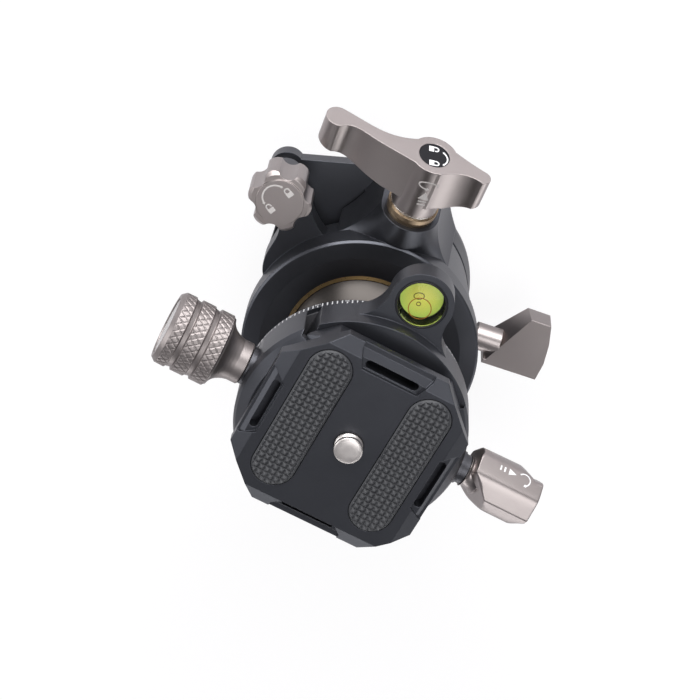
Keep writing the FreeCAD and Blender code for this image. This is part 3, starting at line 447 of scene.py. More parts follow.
def steps_between(corners, step):
    """A profile of (height, radius) corners, with extra rows on each stretch longer than the step."""
    rows = [np.array(corners[:1], float)]
    for start, stop in zip(np.array(corners[:-1], float), np.array(corners[1:], float)):
        count = max(1, math.ceil(np.linalg.norm(stop - start) / step))
        share = np.arange(1, count + 1)[:, None] / count
        rows.append(start + (stop - start) * share)
    return np.concatenate(rows)


def arc_steps(start, through, stop, count=8):
    """Points of a bowed line, a parabola that starts, passes through and stops at three points."""
    share = np.linspace(0, 1, count)[:, None]
    start, through, stop = (np.array(point, float) for point in (start, through, stop))
    pull = 2 * through - (start + stop) / 2
    return (1 - share) ** 2 * start + 2 * share * (1 - share) * pull + share ** 2 * stop


# %% [markdown]
# ## The knurled knob
# A diamond knurl is two sets of narrow slanted grooves that cross. It could be cut with a Boolean modifier,
# which is slow, or faked with bump, which leaves the knob's outline smooth. Here both sets are the same
# wave, once turning to the left and once to the right along the knob. The metal that stands is the lower of
# the two waves, cut off flat at the top. Only three bands are knurled: between them run plain grooves.

# %% The knob's profile
NECK_END, NECK_R, BORE_R = 26.65, 4.9, 3.0
NECK_CURVE = (29.15, NECK_R), (31.75, 6.0), (33.05, 8.0)
BAND_R, BAND_FOOT_R, GROOVE_R = 8.5, 8.1, 7.9
BAND_STARTS = (33.3, 37.9, 42.5)
BAND_LENGTH, CHAMFER = 3.0, 0.3
LAST_KNURL, LAST_EDGE = 45.0, (45.1, 8.45)
KNOB_END, KNOB_END_R, FACE_R, RECESS = 46.1, 7.6, 6.6, 45.2
KNOB_ROW = 0.15


def knob_profile():
    """The knob's profile from its bore, over the neck and the bands, to the recess in its face."""
    rows = [(NECK_END, BORE_R), (NECK_END, NECK_R - CHAMFER), (NECK_END + CHAMFER, NECK_R)]
    rows += list(arc_steps(*NECK_CURVE))
    for start in BAND_STARTS:
        full = start + CHAMFER
        stop = full + BAND_LENGTH
        rows += [(start, BAND_FOOT_R), (full, BAND_R), (stop, BAND_R), (stop + CHAMFER, GROOVE_R)]
    # The last band has no groove behind it: it runs on into the knob's slanted end.
    rows = rows[:-2]
    rows += [LAST_EDGE, (KNOB_END, KNOB_END_R), (KNOB_END, FACE_R)]
    return steps_between([*rows, (RECESS, FACE_R), (RECESS, BORE_R)], KNOB_ROW)


knob_rows = knob_profile()
print("knob profile:", len(knob_rows), "rows")

# %% Diamond knurl
KNURL_GROOVES = 32
KNURL_DEPTH, KNURL_STEEP = 0.2, 4.5
KNURL_LEAN = math.radians(38)
KNURL_FADE = 0.15
AROUND_KNOB = KNURL_GROOVES * 14


def wave(phase):
    """A triangle wave between 0 and 1 that repeats with each whole number."""
    return 2 * np.abs(phase - np.floor(phase + 0.5))


def knurled(profile):
    """Radius over the turn for each row of the profile: crossed grooves on the bands, plain elsewhere."""
    along, radius = profile.T[:, :, None]
    start = np.array(BAND_STARTS)[None, None, :] + CHAMFER
    length = np.minimum(BAND_LENGTH, LAST_KNURL - start)
    inset = np.minimum(along[..., None] - start, start + length - along[..., None]).max(axis=2)
    turn = np.linspace(0, 1, AROUND_KNOB, endpoint=False)[None, :]
    twist = along * math.tan(KNURL_LEAN) / (2 * math.pi * BAND_R)
    left = wave(KNURL_GROOVES * (turn + twist))
    right = wave(KNURL_GROOVES * (turn - twist))
    stands = np.clip(np.minimum(left, right) * KNURL_STEEP, 0, 1)
    cut = np.clip(inset / KNURL_FADE + 0.5, 0, 1) * (radius > BAND_R - KNURL_DEPTH)
    return radius - KNURL_DEPTH * cut * (1 - stands)


knob_points = turned_grid(knurled(knob_rows), knob_rows[:, 0])
clamp_knob = mesh_piece(
    "knurled_clamp_knob",
    BARREL.at(knob_points.reshape(-1, 3)),
    grid_faces(len(knob_rows), AROUND_KNOB, around=True, closed_rows=True),
    "clamp_knob",
    blasted_metal("knurled_titanium", (0.25, 0.225, 0.22), (0.29, 0.262, 0.257), 0.44),
)
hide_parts("clamp_knob")
print("knurled knob:", len(clamp_knob.data.polygons), "faces")

# %% [markdown]
# ## The clamp's lock knob
# The lock knob is an octagonal block. A cylinder with eight sides and a Bevel modifier would have equal
# corners, and this one's differ. So each facet limits the radius to its distance over the cosine of the
# angle from it. A plain minimum of such limits would make sharp corners; a sum of high powers rounds them,
# and at one corner a higher power leaves it sharper. Three more limits cut the block aslant towards its
# neck and its far end, and the edge of its end face is rounded a little.

# %% Octagonal block
BLOCK_START, BLOCK_END = 30.0, 45.9
FACET_DISTANCE = 6.5
FACET_ANGLES = -10.1 + 45.0 * np.arange(8)
CAMERA_SIDE = -24.6
TOP_SIDE, LOW_SIDE = CAMERA_SIDE - 90, CAMERA_SIDE + 90
TOP_ALONG, TOP_DISTANCE = (BLOCK_START, 30.8, 40.3, 44.0, BLOCK_END), (5.0, 6.6, 7.0, 4.9, 5.2)
LOW_ALONG, LOW_DISTANCE = (43.0, BLOCK_END), (7.2, 4.9)
SLANT_AT, SLANT_DISTANCE, SLANT_SLOPE, SLANT_TURN = 32.8, 4.1, 0.964, 0.326
SHARP_CORNER, CORNER_SPREAD = 12.4, 12
SOFT, CRISP = 17.0, 130.0
LEAST_DISTANCE = 0.3


def facing(turn, angle):
    """Cosine of the angle between each direction round the knob and a facet's normal."""
    return np.cos(turn - math.radians(angle))


def limited(distance, cosine):
    """The share of each limit that a radius of 1 mm uses up; nothing where the facet faces away."""
    return np.clip(cosine, 0, None) / np.clip(distance, LEAST_DISTANCE, None)


def grip_radius(along, turn):
    """Radius of the block at distances along its axis (a column) and directions round it (a row)."""
    used = [limited(FACET_DISTANCE, facing(turn, angle)) + 0 * along for angle in FACET_ANGLES]
    used.append(limited(np.interp(along, TOP_ALONG, TOP_DISTANCE), facing(turn, TOP_SIDE)))
    slanted = facing(turn, LOW_SIDE) + SLANT_TURN * facing(turn, CAMERA_SIDE)
    used.append(limited(SLANT_DISTANCE + SLANT_SLOPE * (along - SLANT_AT), slanted))
    used.append(limited(np.interp(along, LOW_ALONG, LOW_DISTANCE), facing(turn, LOW_SIDE)))
    away = np.degrees(np.arccos(facing(turn, SHARP_CORNER)))
    power = SOFT + (CRISP - SOFT) * np.exp(-(away / CORNER_SPREAD) ** 2)
    return (np.stack(used) ** power).sum(axis=0) ** (-1 / power)


# %% Neck, bore and rounded end
GRIP_START = 29.1
GRIP_NECK = (GRIP_START, 3.9), (GRIP_START + 1.4, 3.5), (GRIP_START + 3.2, 4.6)
GRIP_BORE_R, GRIP_BORE_END = 2.5, 39.0
END_ROUND = 0.25
NECK_ROWS, BLOCK_ROWS, END_ROWS, ROW_GAP = 24, 120, 5, 0.1
AROUND_GRIP = 288


def grip_points():
    """The knob from the end of its bore to its far end: a round neck that runs into the block."""
    turn = np.linspace(0, 2 * math.pi, AROUND_GRIP, endpoint=False)[None, :]
    neck = arc_steps(*GRIP_NECK, NECK_ROWS)
    bend = np.linspace(0, math.pi / 2, END_ROWS)
    edge = BLOCK_END - END_ROUND * (1 - np.sin(bend))
    middle = np.linspace(neck[-1, 0] + ROW_GAP, edge[0] - ROW_GAP, BLOCK_ROWS)
    along = np.concatenate([neck[:, 0], middle, edge])
    neck_r = np.interp(along, neck[:, 0], neck[:, 1], right=0)[:, None]
    block = grip_radius(along[:, None], turn) * (along >= BLOCK_START)[:, None]
    block[-len(edge):] -= END_ROUND * (1 - np.cos(bend))[:, None]
    radius = np.concatenate([round_rows([GRIP_BORE_R] * 2, AROUND_GRIP), np.maximum(neck_r, block)])
    return turned_grid(radius, np.concatenate([[GRIP_BORE_END, GRIP_START], along]))


grip_grid = grip_points()
grip = mesh_piece(
    "clamp_lock_grip",
    GRIP.at(grip_grid.reshape(-1, 3)),
    closed_ends(len(grip_grid), AROUND_GRIP),
    "clamp_lock",
    FINISHES["titanium_anodised"],
)
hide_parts("clamp_lock_knob")
print("lock knob:", len(grip.data.polygons), "faces")

# %% [markdown]
# ## The camera screw
# A Screw modifier could wind a tooth round the shank, but then the thread and the shank are two shells
# that cross. As one turned surface, the radius falls and rises once per turn and once per pitch, so the
# wave's phase is the height in pitches less the share of the turn. It fades out towards both ends. The
# head below has the same slot for a coin as the CAD model: the outline of a narrow rectangle.

# %% Threaded camera screw
SCREW_R, SCREW_PITCH = 3.175, 1.27
THREAD_DEPTH, THREAD_STEEP, THREAD_CREST = 0.5, 1.3, 0.2
THREAD_START, THREAD_END, THREAD_ROW = 101.1, 103.3, 0.08
RUN_IN, RUN_OUT, PLAIN_END = 0.1, 0.8, 0.4
TIP_HEIGHT, TIP_ROUND, TIP_ROWS = 0.5, 2.0, 8
SHANK_R = 2.6
HEAD_LOW, HEAD_HIGH, HEAD_R, HEAD_EDGE = 93.6, 95.6, 8.0, 0.2
SLOT_LENGTH, SLOT_WIDTH, SLOT_DEPTH = 12.0, 1.4, 1.3
AROUND_SCREW = 160
TINY = 1e-9


def slot_outline(turn):
    """Radius of a narrow rectangle: half its length over the cosine, or half its width over the sine."""
    ends = SLOT_LENGTH / 2 / np.maximum(np.abs(np.cos(turn)), TINY)
    sides = SLOT_WIDTH / 2 / np.maximum(np.abs(np.sin(turn)), TINY)
    return np.minimum(ends, sides)


def thread_radius(height, turn):
    """Radius of the thread at heights (a column) and directions (a row): a wave that fades at its ends."""
    groove = 1 - wave(height / SCREW_PITCH - turn / (2 * np.pi))
    fade_in = np.clip((height - THREAD_START) / RUN_IN, 0, 1)
    fade_out = np.clip((THREAD_END - PLAIN_END - height) / RUN_OUT, 0, 1)
    groove = np.clip(groove * THREAD_STEEP - THREAD_CREST, 0, 1)
    return SCREW_R - THREAD_DEPTH * groove * fade_in * fade_out


def screw_points():
    """The screw from the floor of its slot, over the head and the shank, to its rounded tip."""
    turn = np.linspace(0, 2 * np.pi, AROUND_SCREW, endpoint=False)
    slot = slot_outline(turn)
    head = np.array([(HEAD_LOW, HEAD_R - HEAD_EDGE), (HEAD_LOW + HEAD_EDGE, HEAD_R),
                     (HEAD_HIGH - HEAD_EDGE, HEAD_R), (HEAD_HIGH, HEAD_R - HEAD_EDGE),
                     (HEAD_HIGH, SHANK_R), (THREAD_START, SHANK_R)])
    height = np.arange(THREAD_START, THREAD_END, THREAD_ROW)
    bend = np.linspace(0, np.pi / 2, TIP_ROWS)
    tip_height = THREAD_END + TIP_HEIGHT * np.sin(bend)
    tip_r = SCREW_R - TIP_ROUND * (1 - np.cos(bend))
    radius = [np.stack([slot, slot]), round_rows(head[:, 1], AROUND_SCREW),
              thread_radius(height[:, None], turn[None, :]), round_rows(tip_r, AROUND_SCREW)]
    heights = [[HEAD_LOW + SLOT_DEPTH, HEAD_LOW], head[:, 0], height, tip_height]
    return turned_grid(np.concatenate(radius), np.concatenate(heights))


screw_grid = screw_points()
screw = mesh_piece(
    "camera_screw_thread",
    PLATE.at(screw_grid.reshape(-1, 3)),
    closed_ends(len(screw_grid), AROUND_SCREW),
    "camera_screw",
    OWN_FINISHES["camera_screw"],
)
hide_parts("camera_screw")
print("camera screw:", len(screw.data.polygons), "faces")

# %% [markdown]
# ## The rubber pads
# Each pad is a long rounded strip with rows of small pyramids. An Array of pyramids would have to be cut
# along the strip's round ends. Instead, the top is a height over a flat grid, and each row of the grid is
# as wide as the rounded strip is there, so the edge of the grid is the outline. A pyramid is the lower of
# two waves, one along the pad and one across it.

# %% Top of a pad
PAD_LENGTH, PAD_WIDTH = 36.2, 9.85
PAD_CENTRE, PAD_OFFSET = 0.85, 12.1
PAD_FLOOR, PAD_TOP = 100.2, 101.9
PYRAMID, PYRAMID_HEIGHT, PYRAMID_STEEP = 1.4, 0.62, 1.2
FLAT_EDGE, FLAT_FADE = 0.25, 0.15
RIM_DROP, RIM_WIDTH = 0.25, 0.3
PAD_END_ROWS, PAD_ROWS, PAD_COLUMNS = 40, 240, 72
FIRST_BEND, LEAST_SQUARE = 0.02, 1e-6


def pad_points(side):
    """Top of a pad: rows along it, each as wide as the rounded strip, with pyramids inside the rim."""
    radius = PAD_WIDTH / 2
    straight = PAD_LENGTH / 2 - radius
    end = straight + radius * np.sin(np.linspace(FIRST_BEND, np.pi / 2, PAD_END_ROWS))
    along = np.concatenate([-end[::-1], np.linspace(-straight, straight, PAD_ROWS), end])[:, None]
    beyond = np.clip(np.abs(along) - straight, 0, None)
    half = np.sqrt(np.clip(radius ** 2 - beyond ** 2, LEAST_SQUARE, None))
    across = np.sin(np.linspace(-np.pi / 2, np.pi / 2, PAD_COLUMNS))[None, :] * half
    inset = radius - np.hypot(across, beyond)
    pyramids = np.minimum(wave(across / PYRAMID), wave(along / PYRAMID))
    inside = np.clip((inset - FLAT_EDGE) / FLAT_FADE, 0, 1)
    height = PAD_TOP - PYRAMID_HEIGHT * (1 - np.clip(pyramids * PYRAMID_STEEP, 0, 1) * inside)
    height = height - RIM_DROP * (1 - np.clip(inset / RIM_WIDTH, 0, 1))
    along = np.broadcast_to(along, across.shape)
    return np.stack([across + PAD_OFFSET * side, along + PAD_CENTRE, height], -1)


# %% Closed pads
def closed_sheet(faces, count):
    """Faces over the first points, the same turned over for the points below, and walls round the rim."""
    edges = np.concatenate([np.stack([faces[:, k], np.roll(faces, -1, axis=1)[:, k]], -1)
                            for k in range(faces.shape[1])])
    key = edges.min(axis=1) * count + edges.max(axis=1)
    _, first, times = np.unique(key, return_index=True, return_counts=True)
    rim = edges[first[times == 1]]
    walls = np.stack([rim[:, 0], rim[:, 0] + count, rim[:, 1] + count, rim[:, 1]], -1)
    return [*faces.tolist(), *(faces[:, ::-1] + count).tolist(), *walls.tolist()]


def pad_piece(name, node, side):
    """One pad: the grid of its top, closed by a copy of the grid on the floor of its recess."""
    top = pad_points(side)
    rows, columns = top.shape[:2]
    floor = top.copy()
    floor[..., 2] = PAD_FLOOR
    points = np.concatenate([top.reshape(-1, 3), floor.reshape(-1, 3)])
    faces = closed_sheet(grid_faces(rows, columns), rows * columns)
    piece = mesh_piece(name, PLATE.at(points), faces, "plate", FINISHES["pad_rubber"])
    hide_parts(node)
    print(name, "with", len(faces), "faces")


pad_piece("pyramid_pad_left", "plate_pad_left", -1)
pad_piece("pyramid_pad_right", "plate_pad_right", 1)

# %% [markdown]
# ## The bubble level
# The well in the clamp's ear has a thin wall, thinner than the CAD model's, so all of the level is made
# here: the well, a floor with a painted glow, the dyed liquid, the window, a printed target ring and the
# bubbles. Most are turned shapes. A bubble could be a hole in the liquid, but then its edge would hardly
# show, so it is a flattened clear ball inside a thin dark ring of painted shade, for the dark edge that
# bent light gives a real bubble.

# %% Turned pieces of the level
LEVEL_OUT = 32.3
LEVEL = Place(PLATE.at((0, LEVEL_OUT, 0)) / MM, GRIP.out, (0, 0, 1))
MIDDLE_R = 1.0
PUCK_EDGE = 0.1
AROUND_LEVEL = 96


def turned_piece(name, profile, material):
    """A turned piece on the level's place, from a profile of (height, radius) with two flat ends."""
    profile = np.array(profile, float)
    points = turned_grid(round_rows(profile[:, 1], AROUND_LEVEL), profile[:, 0])
    faces = closed_ends(len(profile), AROUND_LEVEL)
    return mesh_piece(name, LEVEL.at(points.reshape(-1, 3)), faces, "clamp", material)


def puck(low, high, radius):
    """Profile of a plain disc."""
    inner = radius - PUCK_EDGE
    return [(low, inner), (low, radius), (high, radius), (high, inner)]


# %% Well, liquid and window
WELL_R, WELL_INSIDE, WELL_EDGE = 5.65, 5.2, 0.15
WELL_LOW, WELL_FLOOR, WELL_TOP = 83.87, 84.3, 89.3
DYE_R, DYE_LOW, DYE_TOP = 4.6, 84.35, 84.9
# The floor's glow is painted light, in place of the light that the window and the liquid would pass to it.
DYE_MIDDLE, DYE_RIM, DYE_PAINTED_GLOW = (0.66, 0.62, 0.16), (0.42, 0.56, 0.14), 0.42
FLUID_R, FLUID_LOW, FLUID_TOP = 5.15, 84.32, 88.12
WINDOW_R, WINDOW_LOW, WINDOW_RIM, WINDOW_TOP = 5.17, 88.17, 88.8, 89.3
DOME_SHARE, DOME_ROWS = 0.96, 12

well_profile = [(WELL_LOW, MIDDLE_R), (WELL_LOW, WELL_R), (WELL_TOP - WELL_EDGE, WELL_R),
                (WELL_TOP, WELL_R - WELL_EDGE), (WELL_TOP, WELL_INSIDE + WELL_EDGE),
                (WELL_TOP - WELL_EDGE, WELL_INSIDE), (WELL_FLOOR, WELL_INSIDE), (WELL_FLOOR, MIDDLE_R)]
inwards = np.linspace(0, DOME_SHARE, DOME_ROWS)
dome = WINDOW_RIM + (WINDOW_TOP - WINDOW_RIM) * (1 - (1 - inwards) ** 2)
window_profile = [(WINDOW_LOW, MIDDLE_R), (WINDOW_LOW, WINDOW_R), (WINDOW_RIM, WINDOW_R),
                  *zip(dome, WINDOW_R * (1 - inwards))]

dye_painted_glow = glowing_dye("level_dye_painted_glow", LEVEL.origin, DYE_R, DYE_MIDDLE, DYE_RIM, DYE_PAINTED_GLOW)
liquid = FINISHES["level_liquid"]
well = turned_piece("level_well", well_profile, FINISHES["level_housing"])
turned_piece("level_floor", puck(DYE_LOW, DYE_TOP, DYE_R), dye_painted_glow)
fluid = turned_piece("level_fluid", puck(FLUID_LOW, FLUID_TOP, FLUID_R), liquid)
window = turned_piece("level_dome", window_profile, FINISHES["level_window"])
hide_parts("level_cup")
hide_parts("level_vial")
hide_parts("level_lens")
print("level at", LEVEL.origin.round(2), "mm")

# %% Target ring and bubbles
TARGET_AT, TARGET_R, TARGET_LINE = (0.25, -1.3, 87.9), 2.45, (0.2, 0.03)
BUBBLE_AT, BUBBLE_SIZE = (-1.2, 1.1, 87.6), (1.12, 0.75, 0.38)
SMALL_AT, SMALL_SIZE = (-0.43, -0.55, 87.6), (0.45, 0.42, 0.3)
BUBBLE_LEAN, BUBBLE_ROWS, BUBBLE_POLE = math.radians(29.4), 24, 0.05
RIM_SHADE_LINE = (0.14, 0.06)


def ring_piece(name, place, half, line, material):
    """A line with a width and a height that runs round an ellipse with the given half axes."""
    turn = np.linspace(0, 2 * np.pi, AROUND_LEVEL, endpoint=False)
    side = np.array([(-0.5, -0.5), (0.5, -0.5), (0.5, 0.5), (-0.5, 0.5)])[:, None, :]
    x = (half[0] + side[..., 0] * line[0]) * np.cos(turn)
    y = (half[1] + side[..., 0] * line[0]) * np.sin(turn)
    points = np.stack([x, y, np.broadcast_to(side[..., 1] * line[1], x.shape)], -1)
    faces = grid_faces(4, AROUND_LEVEL, around=True, closed_rows=True)
    mesh_piece(name, place.at(points.reshape(-1, 3)), faces, "clamp", material)


def bubble_pieces(name, centre, size):
    """A flattened clear ball, rows being circles of the sine of their angle, and its ring of painted shade."""
    longways = LEVEL.along((math.cos(BUBBLE_LEAN), math.sin(BUBBLE_LEAN), 0))
    place = Place(LEVEL.at(centre) / MM, longways, (0, 0, 1))
    polar = np.linspace(np.pi - BUBBLE_POLE, BUBBLE_POLE, BUBBLE_ROWS)
    ball = turned_grid(round_rows(np.sin(polar), AROUND_LEVEL), np.cos(polar))
    points = place.at(ball.reshape(-1, 3) * np.array(size))
    mesh_piece(name, points, closed_ends(BUBBLE_ROWS, AROUND_LEVEL), "clamp", bubble_gas)
    ring_piece(name + "_outline", place, size[:2], RIM_SHADE_LINE, bubble_rim_painted_shade)


target_ink = moulded("target_ink", (0.46, 0.17, 0.04), 0.5, shine=0.2)
# The bubbles' dark rings are painted shade, for the dark edge that bent light gives a real bubble.
bubble_rim_painted_shade = moulded("bubble_rim_painted_shade", (0.05, 0.035, 0.02), 0.5, shine=0.2)
bubble_gas = clear("bubble_gas", (0.99, 0.93, 0.90), 1.02, 0.0)
target_place = Place(LEVEL.at(TARGET_AT) / MM, GRIP.out, (0, 0, 1))
ring_piece("level_target", target_place, (TARGET_R, TARGET_R), TARGET_LINE, target_ink)
bubble_pieces("level_bubble", BUBBLE_AT, BUBBLE_SIZE)
bubble_pieces("small_bubble", SMALL_AT, SMALL_SIZE)
print("target ring and two bubbles")

# %% [markdown]
# ## Small signs
# The signs are thin ink or pale engraving. A picture would need a UV map and an image, so each is drawn as
# a thin mesh: flat in millimetres, from bands, bars and triangles. A drawing is its points and its faces,
# and small functions turn it, shift it and put several together.

# %% Bands, bars and triangles
TAPER = 0.98


def triangles(faces):
    """Four-sided faces, each split into two triangles."""
    return np.concatenate([faces[:, [0, 1, 2]], faces[:, [0, 2, 3]]])


def band(path, width):
    """A band of even width along a path of flat points."""
    path = np.asarray(path, float)
    way = np.gradient(path, axis=0)
    way = way / np.linalg.norm(way, axis=1, keepdims=True)
    side = np.stack([-way[:, 1], way[:, 0]], -1) * width / 2
    return np.stack([path + side, path - side], 1).reshape(-1, 2), triangles(grid_faces(len(path), 2))


def bar(x0, x1, y0, y1, steps=6):
    """A flat bar, cut across into a few faces so that it can follow a barrel."""
    middle = (y0 + y1) / 2
    return band(np.stack([np.linspace(x0, x1, steps), np.full(steps, middle)], -1), y1 - y0)


def triangle(base, tip, half, steps=7):
    """A triangle with its base from -half to half across and its tip above or below it. Its corners
    at the base keep a fiftieth of the height, so that every face has an area."""
    x = np.linspace(-half, half, steps)
    low = np.stack([x, np.full(steps, base)], -1)
    high = np.stack([x, base + (tip - base) * (1 - TAPER * np.abs(x) / half)], -1)
    points = np.stack([high, low] if tip > base else [low, high], 1).reshape(-1, 2)
    return points, triangles(grid_faces(steps, 2))


def turned_by(drawing, degrees, shift=(0, 0)):
    """A drawing turned about its origin and shifted."""
    points, faces = drawing
    angle = math.radians(degrees)
    turn = np.array([[math.cos(angle), math.sin(angle)], [-math.sin(angle), math.cos(angle)]])
    return points @ turn + np.array(shift), faces


def together(drawings):
    """Several drawings as one: the later faces count on from the earlier points."""
    starts = np.cumsum([0] + [len(points) for points, faces in drawings[:-1]])
    every = [faces + start for (points, faces), start in zip(drawings, starts)]
    return np.concatenate([points for points, faces in drawings]), np.concatenate(every)


# %% Padlocks and arrows
LOCK_HALF, LOCK_DEPTH = 0.8, 1.15
SHACKLE_R, SHACKLE_LEG, SHACKLE_WIDTH = 0.58, 0.5, 0.32
OPEN_LEG = 0.25


def arc_path(centre, radius, start, stop, squash=1.0, steps=28):
    """Points of an arc, angles in degrees; squash flattens it."""
    angle = np.radians(np.linspace(start, stop, steps))
    return np.stack([centre[0] + radius * np.cos(angle), centre[1] + radius * squash * np.sin(angle)], -1)


def padlock(is_open):
    """A padlock, measured from the middle of its body's top; open, one leg ends in the air."""
    right = [(SHACKLE_R, OPEN_LEG if is_open else 0.0), (SHACKLE_R, SHACKLE_LEG)]
    left = [(-SHACKLE_R, SHACKLE_LEG), (-SHACKLE_R, 0.0)]
    bow = arc_path((0, SHACKLE_LEG), SHACKLE_R, 0, 180)[1:-1]
    shackle = band(np.concatenate([right, bow, left]), SHACKLE_WIDTH)
    return together([bar(-LOCK_HALF, LOCK_HALF, -LOCK_DEPTH, 0.0), shackle])


def arrow_arc(centre, radius, start, stop, width, head, ends=(True, True), squash=1.0):
    """An arc with heads, each of half a width and a length, at its start, its end or both."""
    path = arc_path(centre, radius, start, stop, squash)
    parts = [band(path, width)]
    for wanted, point, before in ((ends[0], path[0], path[1]), (ends[1], path[-1], path[-2])):
        if wanted:
            way = point - before
            degrees = math.degrees(math.atan2(way[1], way[0])) - 90
            parts.append(turned_by(triangle(0, head[1], head[0]), degrees, point))
    return together(parts)


# %% [markdown]
# ## Lines shot at a piece
# A Shrinkwrap modifier could press a sign onto its piece, but its lines all run one way, and on a barrel
# they have to run in towards the axis. Here a line is shot from above every point of the drawing at the
# piece that carries it, and the sign's skin is laid where the lines land, a few hundredths proud. Whether
# a line meets a triangle, and how far away, is the same small sum for every line and triangle, so numpy
# does it for all pairs at once. Only triangles in the box round the lines take part.

# %% Shooting lines
PARALLEL, NEARLY = 1e-12, 1e-7


def corners_of(piece):
    """The piece's triangles as an array of corners in millimetres."""
    mesh = piece.data
    mesh.calc_loop_triangles()
    index = np.empty(len(mesh.loop_triangles) * 3, np.int32)
    mesh.loop_triangles.foreach_get("vertices", index)
    points = np.empty(len(mesh.vertices) * 3)
    mesh.vertices.foreach_get("co", points)
    matrix = np.array(piece.matrix_world)
    points = points.reshape(-1, 3) @ matrix[:3, :3].T + matrix[:3, 3]
    return points[index].reshape(-1, 3, 3) / MM


def travel(starts, ways, corners):
    """How far each line runs before it first meets a triangle; infinity for a line that meets none."""
    first, side, other = corners[:, 0], corners[:, 1] - corners[:, 0], corners[:, 2] - corners[:, 0]
    cross = np.cross(ways[:, None], other[None])
    slope = (cross * side).sum(axis=-1)
    slope = np.where(np.abs(slope) < PARALLEL, np.nan, slope)
    offset = starts[:, None] - first[None]
    turned = np.cross(offset, side[None])
    one = (offset * cross).sum(axis=-1) / slope
    two = (ways[:, None] * turned).sum(axis=-1) / slope
    far = (other * turned).sum(axis=-1) / slope
    meets = (one >= -NEARLY) & (two >= -NEARLY) & (one + two <= 1 + NEARLY) & (far > 0)
    return np.where(meets, far, np.inf).min(axis=1, initial=np.inf)


# %% Laying and wrapping a sign
INK, SUNK = 0.03, 0.05
LAID_REACH, WRAPPED_REACH, WRAPPED_ABOVE = 4.0, 3.0, 1.5


def skin(name, starts, ways, reach, faces, onto, body, material):
    """Lays a drawing on a piece: one line per point, the top a little proud and the underside sunk in."""
    ends = starts + ways * reach
    low = np.minimum(starts.min(axis=0), ends.min(axis=0))
    high = np.maximum(starts.max(axis=0), ends.max(axis=0))
    corners = corners_of(onto)
    near = (corners.max(axis=1) >= low).all(axis=1) & (corners.min(axis=1) <= high).all(axis=1)
    far = travel(starts, ways, corners[near])
    missed = int((~(far < reach)).sum())
    print(name, "on", int(near.sum()), "triangles, lines that missed:", missed)
    far = np.where(far < reach, far, reach)[:, None]
    top, under = starts + ways * (far - INK), starts + ways * (far + SUNK)
    points = np.concatenate([top, under]) * MM
    mesh_piece(name, points, closed_sheet(faces, len(top)), body, material)


def laid(name, drawing, place, height, onto, body, material):
    """Lays a drawing on a face, with lines that run down from a height along the place's axis."""
    points, faces = drawing
    starts = place.at(np.column_stack([points, np.full(len(points), height)])) / MM
    ways = np.broadcast_to(-place.out, starts.shape)
    skin(name, starts, ways, LAID_REACH, faces, onto, body, material)


def wrapped(name, drawing, place, radius, turn_at, onto, body, material):
    """Wraps a drawing round a barrel: its x becomes arc length and its y the distance along the axis."""
    points, faces = drawing
    turn = math.radians(turn_at) + points[:, 0] / radius
    outwards = np.column_stack([np.cos(turn), np.sin(turn), 0 * turn])
    starts = place.at(outwards * (radius + WRAPPED_ABOVE) + np.outer(points[:, 1], (0, 0, 1))) / MM
    skin(name, starts, place.along(-outwards), WRAPPED_REACH, faces, onto, body, material)


# %% [markdown]
# ## The signs of the knobs
# The black disc in the lever's hub shows an open and a closed padlock, joined by an arc: turn this way
# to lock. On the hub's side, a curved arrow stands over a triangle and two bars. The star knob's face has
# the two padlocks and the arc again, engraved pale, and the lock knob of the clamp has the bars, the
# triangle and the curved arrow along its upper facet.

# %% The lever's signs
ABOVE_KNOBS = 61.0
HUB_R, HUB_TURN = 5.6, -89.5

lever_sign = together([
    turned_by(padlock(True), -90, (-0.12, 1.96)),
    turned_by(padlock(False), -90, (-0.05, -2.4)),
    arrow_arc((0.78, -0.47), 2.3, -50, 50, 0.34, (0.34, 0.45)),
])
laid("lever_padlocks", lever_sign, LEVER, ABOVE_KNOBS, NODES["lever_inlay"], "lever",
     WHITE_INK)

hub_sign = together([
    arrow_arc((0.0, 55.1), 2.25, 5, 262, 0.36, (0.62, 0.75), (False, True), 0.48),
    triangle(50.6, 53.0, 1.25),
    bar(-0.95, 0.95, 49.65, 50.05),
    bar(-0.95, 0.95, 48.65, 49.05),
])
wrapped("hub_arrow", hub_sign, LEVER, HUB_R, HUB_TURN, NODES["main_lever"], "lever",
        PALE_ENGRAVING)

# %% The star knob's signs
star_sign = together([
    turned_by(padlock(False), 36.7, (2.15, 2.44)),
    turned_by(padlock(True), 36.7, (-2.21, -1.36)),
    arrow_arc((-0.9, 1.3), 2.95, 61, 204.5, 0.4, (0.42, 0.5)),
])
laid("star_padlocks", star_sign, STAR, ABOVE_KNOBS - STAR.origin[2], NODES["drag_knob"], "drag_knob",
     PALE_ENGRAVING)

# %% The lock knob's signs
SIGN_TURN = math.radians(-55.1)
SIGN_HEIGHT = 9.0
SIGN_FACE = Place(GRIP.origin, GRIP.out, GRIP.along((math.cos(SIGN_TURN), math.sin(SIGN_TURN), 0)))

grip_sign = together([
    bar(34.85, 35.2, 0.44, 1.64),
    bar(35.85, 36.25, 0.44, 1.64),
    turned_by(triangle(37.1, 38.97, 0.8), -90, (0, 1.04)),
    arrow_arc((41.1, 0.8), 1.45, -60, 145, 0.28, (0.45, 0.6), (True, False)),
])
laid("lock_knob_arrow", grip_sign, SIGN_FACE, SIGN_HEIGHT, grip, "clamp_lock",
     WHITE_INK)

# %% [markdown]
# ## The scale
# The disc under the clamp carries a full circle of ticks for panning. They hang from its upper edge, and
# every sixth tick is short and has a plain number of degrees below it. The disc is a true cylinder, so no
# lines are shot here: one drawing with all ticks and numbers is bent round it by its radius.

# %% Ticks and numbers
DISC_R = 25.6
TICKS, NUMBERED = 144, 6
FIRST_TICK = math.radians(1.35)
TICK_TOP, TICK_END, SHORT_END = 82.45, 81.0, 81.75
TICK_WIDTH = 0.3
NUMBER_FOOT, NUMBER_SIZE = 80.9, 1.05


